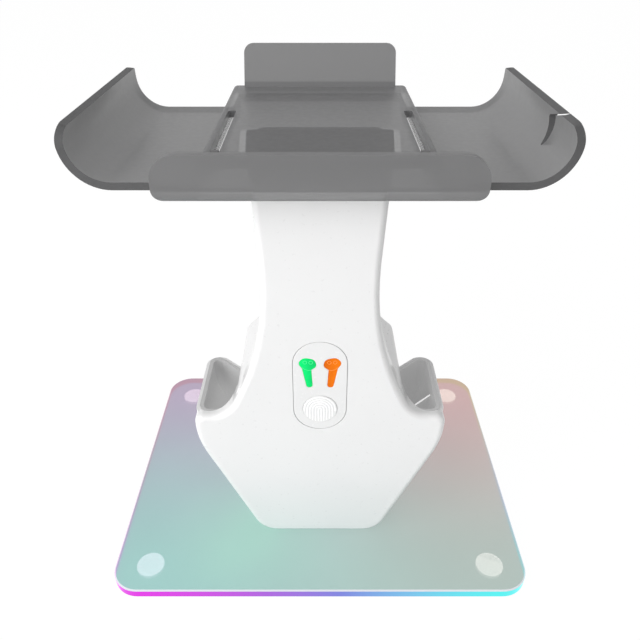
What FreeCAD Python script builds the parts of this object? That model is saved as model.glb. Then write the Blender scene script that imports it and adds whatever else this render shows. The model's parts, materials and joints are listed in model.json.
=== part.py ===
import FreeCAD, Part

import math
import os
import re

import Sketcher

# VR headset charging dock, in millimetres. +Z is up, +X is the dock's right as seen from the
# front, and the front faces -Y. The origin is on the table, under the middle of the base plate.
# Heights in the sheet are above the base plate's top face unless their note says otherwise.

doc = FreeCAD.newDocument("dock")

SIZES = [
    ("foot_across", 15, "rubber foot, across"),
    ("foot_height", 2.5, "rubber foot, from the table to the plate"),
    ("foot_edge", 0.5, "chamfer at the foot's lower edge"),
    ("foot_from_side", 17.7, "foot centre from the plate's side"),
    ("foot_from_front", 19.5, "front foot's centre from the plate's front"),
    ("foot_from_rear", 15, "rear foot's centre from the plate's back"),
    ("plate_width", 225, "clear base plate, left to right"),
    ("plate_depth", 180, "clear base plate, front to back"),
    ("plate_thick", 5, "clear base plate"),
    ("plate_corner", 15, "clear base plate's corner radius"),
    ("plate_bevel", 0.7, "bevel round the plate's top edge"),
    ("light_bay_width", 36, "bay under the body for the light board"),
    ("light_bay_depth", 44, "bay under the body, front to back"),
    ("light_bay_deep", 2.6, "bay's depth into the plate"),
    ("board_thick", 1.6, "circuit boards"),
    ("light_board_thick", 1, "light board"),
    ("light_size", 2, "light chip, across"),
    ("light_tall", 1.1, "light chip's height"),
    ("light_count", 6, "light chips in a row"),
    ("light_pitch", 6.5, "from one light chip to the next"),
    ("body_front", 52, "front face, in front of the plate's middle"),
    ("body_rear", 46, "foot of the rear face, behind the plate's middle"),
    ("parting", 2, "plane where the two shells meet, behind the plate's middle"),
    ("shell_wall", 2.4, "wall of both shells"),
    ("column_top", 216.5, "top of the column"),
    ("column_half", 26.4, "column's half width at its waist"),
    ("column_top_half", 28.9, "column's half width at its top"),
    ("waist_rise", 84, "from the rim up to where the column starts to widen"),
    ("column_rear", 6, "column's rear face, behind the plate's middle"),
    ("base_half", 33.2, "body's half width on the plate, before rounding"),
    ("base_round", 14, "rounding at the foot of the body"),
    ("bowl_half", 63.8, "body's half width at its widest"),
    ("bowl_drop", 17, "from the rim down to where the sloping sides turn upright"),
    ("bowl_round", 50, "rounding of that turn"),
    ("rim_height", 88, "front rim of the controller pockets"),
    ("rim_round", 5, "outer corner of the front rim"),
    ("scoop_half", 47.2, "half width where the flare would meet the rim"),
    ("scoop_round", 15, "hollow between the rim and the flare"),
    ("flare_rise", 41.7, "from the rim up to where the front's flare starts"),
    ("flare_round", 150, "rounding of the front's flare"),
    ("waist_round", 150, "rounding where the column widens"),
    ("front_depth", 14, "depth of the flared front"),
    ("front_round", 3.4, "rounding of the front's edges"),
    ("front_wall", 5, "front wall of the pockets"),
    ("core_half", 42, "half width of the housing behind the front"),
    ("shoulder_rise", 12.8, "from the rim up to the housing's shoulder"),
    ("shoulder_round", 10, "rounding of that shoulder"),
    ("neck_rise", 33.6, "from the rim up to where the shoulder meets the column"),
    ("neck_round", 30, "rounding where it meets the column"),
    ("rear_belly", 50, "height up to which the rear face is nearly upright"),
    ("rear_belly_in", 2, "how far the rear face leans in by then"),
    ("rear_belly_round", 34, "rounding of the rear face's upper turn"),
    ("rear_neck", 112, "where the rear slope meets the column's rear face"),
    ("rear_neck_round", 34, "rounding of that meeting"),
    ("rear_foot_round", 4, "rounding at the foot of the rear face"),
    ("rear_edge", 3.5, "rounding of the rear shell's upright edges"),
    ("pocket_inner", 42.2, "inner side of the pocket liner"),
    ("pocket_front", 46.8, "front side of the liner, in front of the plate's middle"),
    ("pocket_rear_outer", 2.6, "liner's rear outer corner, behind the plate's middle"),
    ("pocket_rear_inner", 14.5, "liner's rear inner corner, in front of the plate's middle"),
    ("bowl_past", 9, "how far the bowl's outline runs back past that corner"),
    ("pocket_round_inner", 13, "liner's front inner corner"),
    ("pocket_round_outer", 5, "liner's front outer corner"),
    ("pocket_round_rear", 4.2, "liner's rear outer corner"),
    ("pocket_floor", 46, "underside of the liner"),
    ("liner_wall", 1.2, "liner's wall"),
    ("liner_lip", 0.8, "how far the liner's lip covers the shell's edge"),
    ("liner_lip_thick", 1, "liner's lip"),
    ("mouth_drop", 11, "from the rim down to where the pocket's walls are cut straight"),
    ("mouth_room", 20, "clear height over the pockets, above the housing's shoulder"),
    ("rib_drop", 8, "top of the guide rib across the right pocket, below the rim"),
    ("rib_tall", 14, "guide rib's height"),
    ("rib_thick", 1.2, "guide rib"),
    ("rib_ahead", 26, "guide rib, in front of the pocket's rear wall"),
    ("fit_gap", 0.2, "clearance between pieces that fit together"),
    ("over", 1, "how far a cut runs past the face it opens"),
    ("contact_height", 62, "middle of the charging contacts"),
    ("contact_front", 28, "contacts, in front of the plate's middle"),
    ("contact_width", 12, "contact block, front to back"),
    ("contact_tall", 8, "contact block's height"),
    ("contact_flange", 2.5, "flange round the contact block"),
    ("contact_out", 0.6, "how far the block stands into the pocket"),
    ("pin_across", 1.4, "charging pin"),
    ("pin_out", 1, "how far the pins stand out of the block"),
    ("pin_count", 3, "pins in a block"),
    ("pin_pitch", 3.4, "from one pin to the next"),
    ("panel_width", 26, "touch panel"),
    ("panel_tall", 53.7, "touch panel's height"),
    ("panel_height", 107.4, "touch panel's middle"),
    ("panel_ledge", 1.6, "ledge that the touch panel seats on"),
    ("panel_thick", 1.4, "touch panel"),
    ("seam", 0.25, "seam round the touch panel"),
    ("touch_across", 17, "touch disc"),
    ("touch_below", 13.8, "touch disc's middle, below the panel's"),
    ("touch_proud", 0.3, "how far the touch disc stands proud"),
    ("icon_shift", 5.95, "middle of the indicator's head, off the panel's middle"),
    ("icon_above", 14, "middle of the indicator's head, above the panel's"),
    ("icon_head", 9.4, "head's width from side corner to side corner, before rounding"),
    ("icon_side_low", 0.3, "side corners below the head's middle"),
    ("icon_crown", 5.2, "width of the head's top, before rounding"),
    ("icon_crown_rise", 3.4, "from the head's middle to its top"),
    ("icon_tilt", 12, "degrees that the head dips to the middle"),
    ("icon_neck", 4.4, "width of the stem where it meets the head"),
    ("icon_neck_off", -0.2, "how far the stem meets the head off its middle"),
    ("icon_neck_drop", 2.9, "from the head's middle to the stem"),
    ("icon_stem", 2.8, "width of the stem at its end"),
    ("icon_lean", 1, "how far the stem's end leans to the middle"),
    ("icon_long", 13.9, "from the middle of the head to the stem's end"),
    ("icon_round_crown", 3, "rounding of the head's top"),
    ("icon_round_side", 2.4, "rounding of the head's sides"),
    ("icon_round_end", 1.3, "rounding of the stem's end"),
    ("touch_board_gap", 3.4, "touch board, behind the panel"),
    ("touch_board_width", 21.8, "touch board"),
    ("touch_board_tall", 49, "touch board's height"),
    ("post_across", 3, "posts behind the touch panel"),
    ("main_board_width", 44, "main board"),
    ("main_board_tall", 56, "main board's height"),
    ("main_board_foot", 14, "main board's lower edge"),
    ("board_screw_side", 4, "board screws, in from the board's side"),
    ("board_screw_end", 6, "main board's screws, in from its ends"),
    ("main_board_front", 30, "main board's front face, in front of the plate's middle"),
    ("boss_across", 7, "screw boss"),
    ("screw_across", 3, "screw's shank"),
    ("screw_head", 5.6, "screw's head"),
    ("screw_head_tall", 1.6, "height of a screw's head"),
    ("screw_bite", 8, "how far a screw goes into its boss"),
    ("well_wall", 1.5, "wall of the wells that the shell screws sit in"),
    ("low_screw_half", 28, "lower shell screws, off the middle"),
    ("low_screw_height", 22, "lower shell screws"),
    ("high_screw_half", 16, "upper shell screws, off the middle"),
    ("high_screw_height", 152, "upper shell screws"),
    ("cover_half", 20, "base cover's half width in the body's opening"),
    ("cover_front", 42, "base cover's front edge, in front of the plate's middle"),
    ("cover_rear", 38, "base cover's rear edge, behind the plate's middle"),
    ("cover_ledge", 2.6, "how far the base cover laps over the shells' floor"),
    ("cover_thick", 2, "base cover's ledge"),
    ("base_screw_half", 13, "base screws, off the middle"),
    ("base_screw_front", 34, "front base screws, in front of the plate's middle"),
    ("base_screw_rear", 30, "rear base screws, behind the plate's middle"),
    ("base_boss_tall", 12, "bosses on the base cover"),
    ("base_pilot_long", 9.5, "screw holes in those bosses"),
    ("socket_width", 9, "charging sockets"),
    ("socket_tall", 3.2, "charging sockets' height"),
    ("socket_long", 7.4, "charging sockets' length"),
    ("socket_wall", 0.35, "charging sockets' metal"),
    ("socket_back", 0.9, "charging sockets' closed back"),
    ("tongue_thick", 0.7, "tongue in a charging socket"),
    ("tongue_width", 6, "that tongue's width"),
    ("tongue_long", 6.3, "that tongue's length"),
    ("inlet_height", 22, "power inlet's middle"),
    ("power_board_width", 30, "power board"),
    ("power_board_deep", 27, "power board, front to back"),
    ("post_rear", 5, "rear posts, in from the power board's edge"),
    ("outlet_height", 186, "headset outlet's middle"),
    ("outlet_board_width", 20, "outlet board"),
    ("outlet_board_deep", 18, "outlet board, front to back"),
    ("shelf_thick", 2, "shelf under the outlet board"),
    ("wing_top", 213, "upper face of the cradle's wings"),
    ("cradle_thick", 3.2, "cradle's sheet"),
    ("cradle_half_depth", 56, "half of the wings' front to back size"),
    ("wing_flat_half", 81, "half width of the wings' flat part"),
    ("wing_round", 18.5, "outer radius of the wings' curl"),
    ("wing_turn", 106, "degrees that the wings curl through"),
    ("wing_tip", 1, "straight part at the wings' tips"),
    ("tip_round_front", 8, "wing tips' front corners"),
    ("tip_round_rear", 8, "wing tips' rear corners"),
    ("platform_half", 46, "cradle platform's half width"),
    ("platform_half_depth", 58, "half of the platform's front to back size"),
    ("platform_top", 223.5, "cradle platform's upper face"),
    ("platform_round", 2.4, "rounding of the platform's long edges"),
    ("platform_rear_foot", 216, "lower edge of the platform's rear wall"),
    ("slot_middle", 40.7, "platform slots, off the middle"),
    ("slot_width", 3.8, "platform slots"),
    ("slot_round", 0.9, "corners of the platform slots"),
    ("slot_front", 52, "platform slots' front end, in front of the plate's middle"),
    ("slot_rear", 8, "platform slots' rear end, behind the plate's middle"),
    ("lip_front", 70.8, "lip's front face, in front of the plate's middle"),
    ("lip_half", 62.2, "lip's half width"),
    ("lip_top", 228.8, "lip's upper edge"),
    ("lip_round_top", 10.5, "lip's upper corners"),
    ("lip_round_low", 6, "lip's lower corners"),
    ("lip_bend", 5, "outer radius of the lip's bend"),
    ("lip_web_half", 60, "half width of the web behind the lip"),
    ("relief_deep", 1.5, "how far the relief cuts beside the web go into the wings"),
    ("rest_half", 39.7, "back rest's half width"),
    ("rest_long", 22, "back rest's length along its slope"),
    ("rest_lean", 25, "degrees that the back rest leans back"),
    ("rest_round", 5, "back rest's upper corners"),
    ("notch_low", 217, "lowest point of the lead hole in the right wing"),
    ("notch_low_front", 27.8, "that point, in front of the plate's middle"),
    ("notch_top", 229.6, "lead hole's rear upper corner"),
    ("notch_top_front", 21, "that corner, in front of the plate's middle"),
    ("notch_wide", 8.4, "lead hole's width along its slanting top"),
    ("notch_rise", 0.286, "how steeply that top and the slit rise to the front"),
    ("notch_round", 1, "lead hole's corners; the lower front one has twice that"),
    ("notch_slit", 0.6, "slit from the hole out through the wing's edge"),
    ("collar_wall", 2.6, "collar that holds the mount"),
    ("collar_foot", 217, "lower edge of the collar"),
    ("mount_front_half", 29, "mount's half width in front"),
    ("mount_rear_half", 32.4, "mount's half width behind"),
    ("mount_front", 50, "mount's front edge, in front of the plate's middle"),
    ("mount_rear", 11, "mount's rear edge, in front of the plate's middle"),
    ("mount_round", 1.5, "mount's rear corners"),
    ("hook_deep", 2.4, "mount's hooks, front to back"),
    ("hook_proud", 0.2, "how far the hooks stand above the platform"),
    ("mount_screw_half", 15, "mount screws, off the middle"),
    ("mount_screw_front", 42, "front mount screws, in front of the plate's middle"),
    ("mount_screw_rear", 20, "rear mount screws, in front of the plate's middle"),
]

# Corner radius of a round end, as a share of the end's width: a hair under half of it.
BOW = 0.499

sheet = doc.addObject("Spreadsheet::Sheet", "Sizes")
for row, (alias, value, note) in enumerate(SIZES, start=1):
    sheet.set(f"A{row}", alias)
    sheet.set(f"B{row}", str(value))
    sheet.setAlias(f"B{row}", alias)
    sheet.set(f"C{row}", note)
doc.recompute()
ALIASES = {alias for alias, value, note in SIZES}


def tied(text):
    """The same expression as another object has to write it."""
    return re.sub(r"[a-z]\w*", lambda word: "Sizes." + word[0] if word[0] in ALIASES else word[0], text)


def number(text):
    """What an expression of the sheet's aliases comes to."""
    return float(sheet.evalExpression(text))


def attach(item, paths):
    """Tie properties of an object to expressions of the sheet's aliases."""
    for path, text in paths.items():
        item.setExpression(path, tied(text))


TURNS = {
    "XY": FreeCAD.Rotation(),
    "XZ": FreeCAD.Rotation(FreeCAD.Vector(1, 0, 0), 90),
    "YZ": FreeCAD.Rotation(FreeCAD.Vector(1, 1, 1), 120),
}
LEVELS = {"XY": "z", "XZ": "y", "YZ": "x"}
AHEAD = {"XY": FreeCAD.Vector(0, 0, 1), "XZ": FreeCAD.Vector(0, 1, 0), "YZ": FreeCAD.Vector(1, 0, 0)}


def fix_point(sketch, side, end, x, y):
    """Hold a point of a sketch at a place that the sheet gives."""
    for kind, text in (("DistanceX", x), ("DistanceY", y)):
        held = sketch.addConstraint(Sketcher.Constraint(kind, -1, 1, side, end, number(text)))
        sketch.setExpression(f"Constraints[{held}]", tied(text))


def draw(sketch, corners):
    """Close a sketch through corners (x, y, radius): straight sides, rounded where a radius is given."""
    places = [FreeCAD.Vector(number(x), number(y), 0) for x, y, radius in corners]
    leaves, arrives = [], []
    for index, (x, y, radius) in enumerate(corners):
        here = places[index]
        back = (places[index - 1] - here).normalize()
        on = (places[(index + 1) % len(corners)] - here).normalize()
        reach = number(radius) / math.tan(back.getAngle(on) / 2) if radius else 0
        arrives.append(here + back * reach)
        leaves.append(here + on * reach)
    for index in range(len(corners)):
        sketch.addGeometry(Part.LineSegment(leaves[index], arrives[(index + 1) % len(corners)]))
    for index, (x, y, radius) in enumerate(corners):
        before = (index - 1) % len(corners)
        if not radius:
            sketch.addConstraint(Sketcher.Constraint("Coincident", before, 2, index, 1))
            fix_point(sketch, index, 1, x, y)
            continue
        size = number(radius)
        along = (places[index] - places[before]).normalize()
        turns_left = along.cross(leaves[index] - arrives[index]).z > 0
        inward = FreeCAD.Vector(-along.y, along.x, 0) * (1 if turns_left else -1)
        middle = arrives[index] + inward * size
        first, last = (arrives[index], leaves[index]) if turns_left else (leaves[index], arrives[index])
        start = math.atan2(first.y - middle.y, first.x - middle.x)
        stop = math.atan2(last.y - middle.y, last.x - middle.x)
        stop += 2 * math.pi if stop < start else 0
        ring = Part.Circle(middle, FreeCAD.Vector(0, 0, 1), size)
        arc = sketch.addGeometry(Part.ArcOfCircle(ring, start, stop))
        mark = sketch.addGeometry(Part.Point(places[index]), True)
        ends = (1, 2) if turns_left else (2, 1)
        sketch.addConstraint(Sketcher.Constraint("Tangent", before, 2, arc, ends[0]))
        sketch.addConstraint(Sketcher.Constraint("Tangent", index, 1, arc, ends[1]))
        sketch.addConstraint(Sketcher.Constraint("PointOnObject", mark, 1, before))
        sketch.addConstraint(Sketcher.Constraint("PointOnObject", mark, 1, index))
        fix_point(sketch, mark, 1, x, y)
        held = sketch.addConstraint(Sketcher.Constraint("Radius", arc, size))
        sketch.setExpression(f"Constraints[{held}]", tied(radius))


def outline(name, plane, level, corners):
    """A closed sketch in a plane that stands at a level along the plane's own axis."""
    sketch = doc.addObject("Sketcher::SketchObject", name)
    sketch.Placement = FreeCAD.Placement(FreeCAD.Vector(), TURNS[plane])
    attach(sketch, {f"Placement.Base.{LEVELS[plane]}": level})
    draw(sketch, corners)
    doc.recompute()
    return sketch


def mirrored_corners(corners):
    """Corners of a shape that is the same left and right, from its right half, bottom to top."""
    left = [(f"-({x})", y, radius) for x, y, radius in reversed(corners)]
    return corners + left


def across(corners, side):
    """The same corners on the right (side 1), or mirrored to the left (side -1)."""
    if side > 0:
        return corners
    return [(f"-({x})", y, radius) for x, y, radius in reversed(corners)]


def box_corners(left, low, right, high, radius=None):
    return [(left, low, radius), (right, low, radius), (right, high, radius), (left, high, radius)]


def drawn_out(name, plane, level, length, corners):
    """A solid drawn out of an outline, from a level, along the plane's axis."""
    solid = doc.addObject("Part::Extrusion", name)
    solid.Base = outline(name + "_outline", plane, level, corners)
    solid.DirMode = "Custom"
    solid.Dir = AHEAD[plane]
    solid.Solid = True
    attach(solid, {"LengthFwd": length})
    return solid


def shrunk(name, source, amount, plane, shift, length):
    """What lies inside an outline by an even margin, drawn out. It starts at a shift from the source."""
    margin = doc.addObject("Part::Offset2D", name + "_margin")
    margin.Source = source.Base
    attach(margin, {"Value": f"-({amount})"})
    solid = doc.addObject("Part::Extrusion", name)
    solid.Base = margin
    solid.DirMode = "Custom"
    solid.Dir = AHEAD[plane]
    solid.Solid = True
    attach(solid, {"LengthFwd": length, f"Placement.Base.{LEVELS[plane]}": shift})
    return solid


def rod(name, axis, x, y, z, across_text, length):
    """A round bar along +X, +Y or +Z from a point."""
    bar = doc.addObject("Part::Cylinder", name)
    turn = {"x": FreeCAD.Rotation(FreeCAD.Vector(0, 1, 0), 90),
            "y": FreeCAD.Rotation(FreeCAD.Vector(1, 0, 0), -90),
            "z": FreeCAD.Rotation()}[axis]
    bar.Placement = FreeCAD.Placement(FreeCAD.Vector(), turn)
    attach(bar, {"Radius": f"({across_text}) / 2", "Height": length, "Placement.Base.x": x,
                 "Placement.Base.y": y, "Placement.Base.z": z})
    return bar


def block(name, x, y, z, width, depth, height):
    """A plain block from its left front lower corner."""
    brick = doc.addObject("Part::Box", name)
    attach(brick, {"Length": width, "Width": depth, "Height": height, "Placement.Base.x": x,
                   "Placement.Base.y": y, "Placement.Base.z": z})
    return brick


def joined(name, pieces):
    whole = doc.addObject("Part::MultiFuse", name)
    whole.Shapes = pieces
    whole.Refine = True
    return whole


def shared(name, pieces):
    whole = doc.addObject("Part::MultiCommon", name)
    whole.Shapes = pieces
    whole.Refine = True
    return whole


def cut_away(name, base, tools):
    """The base without its tools."""
    tool = tools[0] if len(tools) == 1 else joined(name + "_tools", tools)
    rest = doc.addObject("Part::Cut", name)
    rest.Base = base
    rest.Tool = tool
    rest.Refine = True
    return rest


def rounded(name, base, radius, picks):
    """Round the edges of a solid that a test picks."""
    doc.recompute()
    size = number(radius)
    fillet = doc.addObject("Part::Fillet", name)
    fillet.Base = base
    edges = enumerate(base.Shape.Edges, start=1)
    fillet.Edges = [(index, size, size) for index, edge in edges if picks(edge)]
    return fillet


NODES = []


def finish(label, solid, height="foot_height + plate_thick"):
    """Name a finished piece and lift it from the plate's top face into the dock's own frame."""
    solid.Label = label
    solid.Placement = FreeCAD.Placement()
    attach(solid, {"Placement.Base.z": height})
    NODES.append(solid)
    return solid


def gathered(label, *solids):
    """A plain block or bar, or like pieces that lie apart, in a named group of their own."""
    group = doc.addObject("Part::Compound", label)
    group.Links = list(solids)
    return finish(label, group)


def screw(name, axis, x, y, z, ahead, bite):
    """Pan head and shank. The head's underside is at the point, and the shank runs ahead (1 or -1)."""
    at = {"x": x, "y": y, "z": z}
    head_at, shank_at = dict(at), dict(at)
    if ahead > 0:
        head_at[axis] = f"({at[axis]}) - screw_head_tall"
    else:
        shank_at[axis] = f"({at[axis]}) - ({bite})"
    head = rod(name + "_head", axis, head_at["x"], head_at["y"], head_at["z"], "screw_head",
               "screw_head_tall")
    shank = rod(name + "_shank", axis, shank_at["x"], shank_at["y"], shank_at["z"], "screw_across", bite)
    return joined(name, [head, shank])


SIDES = {"left": -1, "right": 1}


# Base plate: a clear sheet with round corners, a bevelled top edge, a bay for the light board
# and stepped holes for the base screws.

BASE_SCREWS = [(f"{side} * base_screw_half", y)
               for side in (-1, 1) for y in ("-base_screw_front", "base_screw_rear")]

sheet_body = doc.addObject("PartDesign::Body", "plate_sheet")
plate_outline = sheet_body.newObject("Sketcher::SketchObject", "plate_outline")
plate_outline.AttachmentSupport = (
    next(item for item in sheet_body.Origin.OriginFeatures if item.Role == "XY_Plane"), [""])
plate_outline.MapMode = "FlatFace"
attach(plate_outline, {"AttachmentOffset.Base.z": "-plate_thick"})
draw(plate_outline, box_corners("-plate_width / 2", "-plate_depth / 2", "plate_width / 2", "plate_depth / 2",
                                "plate_corner"))
plate_pad = sheet_body.newObject("PartDesign::Pad", "plate_pad")
plate_pad.Profile = plate_outline
attach(plate_pad, {"Length": "plate_thick"})
doc.recompute()
top_edges = [f"Edge{index}" for index, edge in enumerate(plate_pad.Shape.Edges, start=1)
             if edge.BoundBox.ZMin > -number("plate_thick") / 2]
bevel = sheet_body.newObject("PartDesign::Chamfer", "plate_bevel_cut")
bevel.Base = (plate_pad, top_edges)
attach(bevel, {"Size": "plate_bevel"})
sheet_body.Tip = bevel

light_bay = drawn_out("light_bay", "XY", "-light_bay_deep", "light_bay_deep + over",
                      box_corners("-light_bay_width / 2", "-light_bay_depth / 2",
                                  "light_bay_width / 2", "light_bay_depth / 2", "board_thick"))
plate_holes = [light_bay]
for index, (x, y) in enumerate(BASE_SCREWS):
    plate_holes.append(rod(f"plate_hole_{index}", "z", x, y, "-plate_thick - over",
                           "screw_across + 2 * fit_gap", "plate_thick + 2 * over"))
    plate_holes.append(rod(f"plate_step_{index}", "z", x, y, "-plate_thick - over",
                           "screw_head + 2 * fit_gap", "screw_head_tall + fit_gap + over"))
finish("base_plate", cut_away("base_plate", sheet_body, plate_holes))


# Feet: four rubber discs stuck under the plate's corners.

for end, along in (("front", -1), ("rear", 1)):
    for side, way in SIDES.items():
        name = f"{end}_{side}_foot"
        foot = doc.addObject("PartDesign::Body", name)
        ring = foot.newObject("Sketcher::SketchObject", name + "_ring")
        ring.AttachmentSupport = (
            next(item for item in foot.Origin.OriginFeatures if item.Role == "XY_Plane"), [""])
        ring.MapMode = "FlatFace"
        ring.addGeometry(Part.Circle(FreeCAD.Vector(), FreeCAD.Vector(0, 0, 1), number("foot_across / 2")))
        ring.addConstraint(Sketcher.Constraint("Coincident", 0, 3, -1, 1))
        ring.addConstraint(Sketcher.Constraint("Diameter", 0, number("foot_across")))
        attach(ring, {"Constraints[1]": "foot_across"})
        disc = foot.newObject("PartDesign::Pad", name + "_disc")
        disc.Profile = ring
        attach(disc, {"Length": "foot_height"})
        doc.recompute()
        worn = foot.newObject("PartDesign::Chamfer", name + "_edge")
        worn.Base = (disc, [f"Edge{index}" for index, edge in enumerate(disc.Shape.Edges, start=1)
                            if edge.BoundBox.ZMax < number("foot_height / 2")])
        attach(worn, {"Size": "foot_edge"})
        foot.Tip = worn
        finish(name, foot, "0")
        attach(foot, {"Placement.Base.x": f"{way} * (plate_width / 2 - foot_from_side)",
                      "Placement.Base.y": f"{along} * (plate_depth / 2 - foot_from_{end})"})


# Light board in the plate's bay, with two rows of chips that light the plate from inside.

finish("light_board", drawn_out("light_board", "XY", "-light_bay_deep", "light_board_thick",
                                box_corners("fit_gap - light_bay_width / 2", "fit_gap - light_bay_depth / 2",
                                            "light_bay_width / 2 - fit_gap",
                                            "light_bay_depth / 2 - fit_gap", "board_thick")))
chips = []
for side, way in SIDES.items():
    for index in range(int(number("light_count"))):
        chips.append(block(f"{side}_light_{index}",
                           f"{way} * (light_bay_width / 2 - light_size) - light_size / 2",
                           f"({index} - (light_count - 1) / 2) * light_pitch - light_size / 2",
                           "light_board_thick - light_bay_deep", "light_size", "light_size", "light_tall"))
gathered("plate_lights", *chips)


# Front shell. Seen from the front, its edge runs from a flat foot out to the pockets' rims, in
# along a hollow scoop, and up a long flare to a slender column that widens again at its top.
# Behind the flared front stands a plainer housing, and behind the rims the two pocket housings.

BOWL = "(rim_height - bowl_drop)"
FLARE = "(rim_height + flare_rise)"
SHOULDER = "(rim_height + shoulder_rise)"
NECK = "(rim_height + neck_rise)"
WAIST = "(rim_height + waist_rise)"
FRONT_EDGE = [
    ("base_half", "0", "base_round"),
    ("bowl_half", BOWL, "bowl_round"),
    ("bowl_half", "rim_height", "rim_round"),
    ("scoop_half", "rim_height", "scoop_round"),
    ("column_half", FLARE, "flare_round"),
    ("column_half", WAIST, "waist_round"),
    ("column_top_half", "column_top", None),
]
SLOPE = f"((bowl_half - base_half) / {BOWL})"
CORE_EDGE = [
    ("base_half", "0", "base_round"),
    ("core_half", f"(core_half - base_half) / {SLOPE}", "shoulder_round"),
    ("core_half", SHOULDER, "shoulder_round"),
    ("column_half", NECK, "neck_round"),
    ("column_half", WAIST, "waist_round"),
    ("column_top_half", "column_top", None),
]
BOWL_EDGE = [
    ("base_half", "0", "base_round"),
    ("bowl_half", BOWL, "bowl_round"),
    ("bowl_half", "rim_height - liner_lip_thick", None),
]

front_slab = drawn_out("front_slab", "XZ", "-body_front", "front_depth", mirrored_corners(FRONT_EDGE))
front_face = rounded("front_face", front_slab, "front_round",
                     lambda edge: edge.BoundBox.YMax < -number("body_front") + 0.01
                     and edge.BoundBox.ZMin < number("column_top") - 0.01)
front_core = drawn_out("front_core", "XZ", "-body_front + front_wall", "body_front - front_wall + parting",
                       mirrored_corners(CORE_EDGE))
BOWL_REAR = "(pocket_rear_outer + bowl_past)"
bowl = drawn_out("bowl", "XZ", "-body_front + front_wall", f"body_front - front_wall + {BOWL_REAR}",
                 mirrored_corners(BOWL_EDGE))
LINER_OUTER = "(bowl_half - shell_wall - fit_gap)"
LINER_EDGE = f"(base_half - (shell_wall + fit_gap) * sqrt(1 + {SLOPE} ^ 2))"


def pocket_plan(out, back):
    """A pocket from above: its rear wall runs slantwise from the housing to the outer corner."""
    return [
        ("pocket_inner", "-pocket_front", "pocket_round_inner"),
        (f"{LINER_OUTER} + {out}", "-pocket_front", "pocket_round_outer"),
        (f"{LINER_OUTER} + {out}", f"pocket_rear_outer + {back}", "pocket_round_rear"),
        ("pocket_inner", f"-pocket_rear_inner + {back}", None),
    ]


def grown(name, source, amount, shift, length):
    """An outline seen from above, made larger by an even margin and drawn upwards."""
    return shrunk(name, source, f"-({amount})", "XY", shift, length)


pocket_plans, pocket_housings, pocket_hollows = {}, [], []
for side, way in SIDES.items():
    plan = drawn_out(f"{side}_pocket_plan", "XY", "0", "rim_height", across(pocket_plan("0", "0"), way))
    pocket_plans[side] = plan
    walls = grown(f"{side}_housing_plan", plan, "shell_wall + fit_gap", "0", "rim_height")
    pocket_housings.append(shared(f"{side}_pocket_housing", [bowl, walls]))
    low = grown(f"{side}_hollow_plan", plan, "fit_gap", "0", "rim_height")
    inside = shrunk(f"{side}_hollow_section", bowl, "shell_wall", "XZ", "0", f"body_front + {BOWL_REAR}")
    pocket_hollows.append(shared(f"{side}_pocket_hollow", [low, inside]))
    pocket_hollows.append(grown(f"{side}_pocket_mouth", plan, "fit_gap", "rim_height - mouth_drop",
                                "mouth_drop + shoulder_rise + mouth_room"))
    lip_plan = drawn_out(f"{side}_lip_plan", "XY", "0", "liner_lip_thick",
                         across(pocket_plan("liner_lip", "liner_lip"), way))
    pocket_hollows.append(grown(f"{side}_lip_seat", lip_plan, "fit_gap", "rim_height - liner_lip_thick",
                                "shoulder_rise + mouth_room"))

front_hollow = shrunk("front_hollow", front_core, "shell_wall", "XZ", "shell_wall - front_wall",
                      "body_front + parting")
BOARD_SCREWS = [(f"{way} * (main_board_width / 2 - board_screw_side)", z)
                for way, z in ((-1, "main_board_foot + main_board_tall - board_screw_end"),
                               (1, "main_board_foot + board_screw_end"))]
SHELL_SCREWS = [(f"{way} * {half}", z)
                for way in SIDES.values()
                for half, z in (("low_screw_half", "low_screw_height"),
                                ("high_screw_half", "high_screw_height"))]
MOUNT_SCREWS = [(f"{way} * mount_screw_half", y)
                for way in SIDES.values() for y in ("-mount_screw_front", "-mount_screw_rear")]
PILOT = "screw_across + fit_gap"
CLEAR = "screw_across + 2 * fit_gap"
SHELF_TOP = "(outlet_height - socket_tall / 2 - board_thick)"

front_form = joined("front_form", [front_face, front_core] + pocket_housings)
front_opened = cut_away("front_opened", front_form, [front_hollow] + pocket_hollows)
front_inside = [block("outlet_shelf", "fit_gap - column_half", "parting - over - outlet_board_deep",
                      f"{SHELF_TOP} - shelf_thick", "2 * (column_half - fit_gap)", "outlet_board_deep",
                      "shelf_thick")]
for index, (x, z) in enumerate(BOARD_SCREWS):
    front_inside.append(rod(f"board_boss_{index}", "y", x, "over - body_front", z, "boss_across",
                            "body_front - main_board_front - over"))
for index, (x, z) in enumerate(SHELL_SCREWS):
    front_inside.append(rod(f"shell_boss_{index}", "y", x, "over - body_front", z, "boss_across",
                            "body_front + parting - over"))
front_cuts = [
    drawn_out("panel_seat", "XZ", "-body_front - over", "panel_thick + over",
              box_corners("-panel_width / 2 - seam", "panel_height - panel_tall / 2 - seam",
                          "panel_width / 2 + seam", "panel_height + panel_tall / 2 + seam",
                          f"{BOW} * panel_width")),
    drawn_out("panel_window", "XZ", "-body_front - over", "shell_wall + 2 * over",
              box_corners("panel_ledge - panel_width / 2", "panel_height - panel_tall / 2 + panel_ledge",
                          "panel_width / 2 - panel_ledge", "panel_height + panel_tall / 2 - panel_ledge",
                          f"{BOW} * panel_width - panel_ledge")),
    block("front_floor_opening", "-cover_half", "-cover_front", "-over", "2 * cover_half",
          "cover_front + parting + over", "shell_wall + over + fit_gap"),
]
for index, (x, z) in enumerate(BOARD_SCREWS):
    front_cuts.append(rod(f"board_pilot_{index}", "y", x, "-main_board_front - screw_bite - over", z, PILOT,
                          "screw_bite + 2 * over"))
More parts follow.
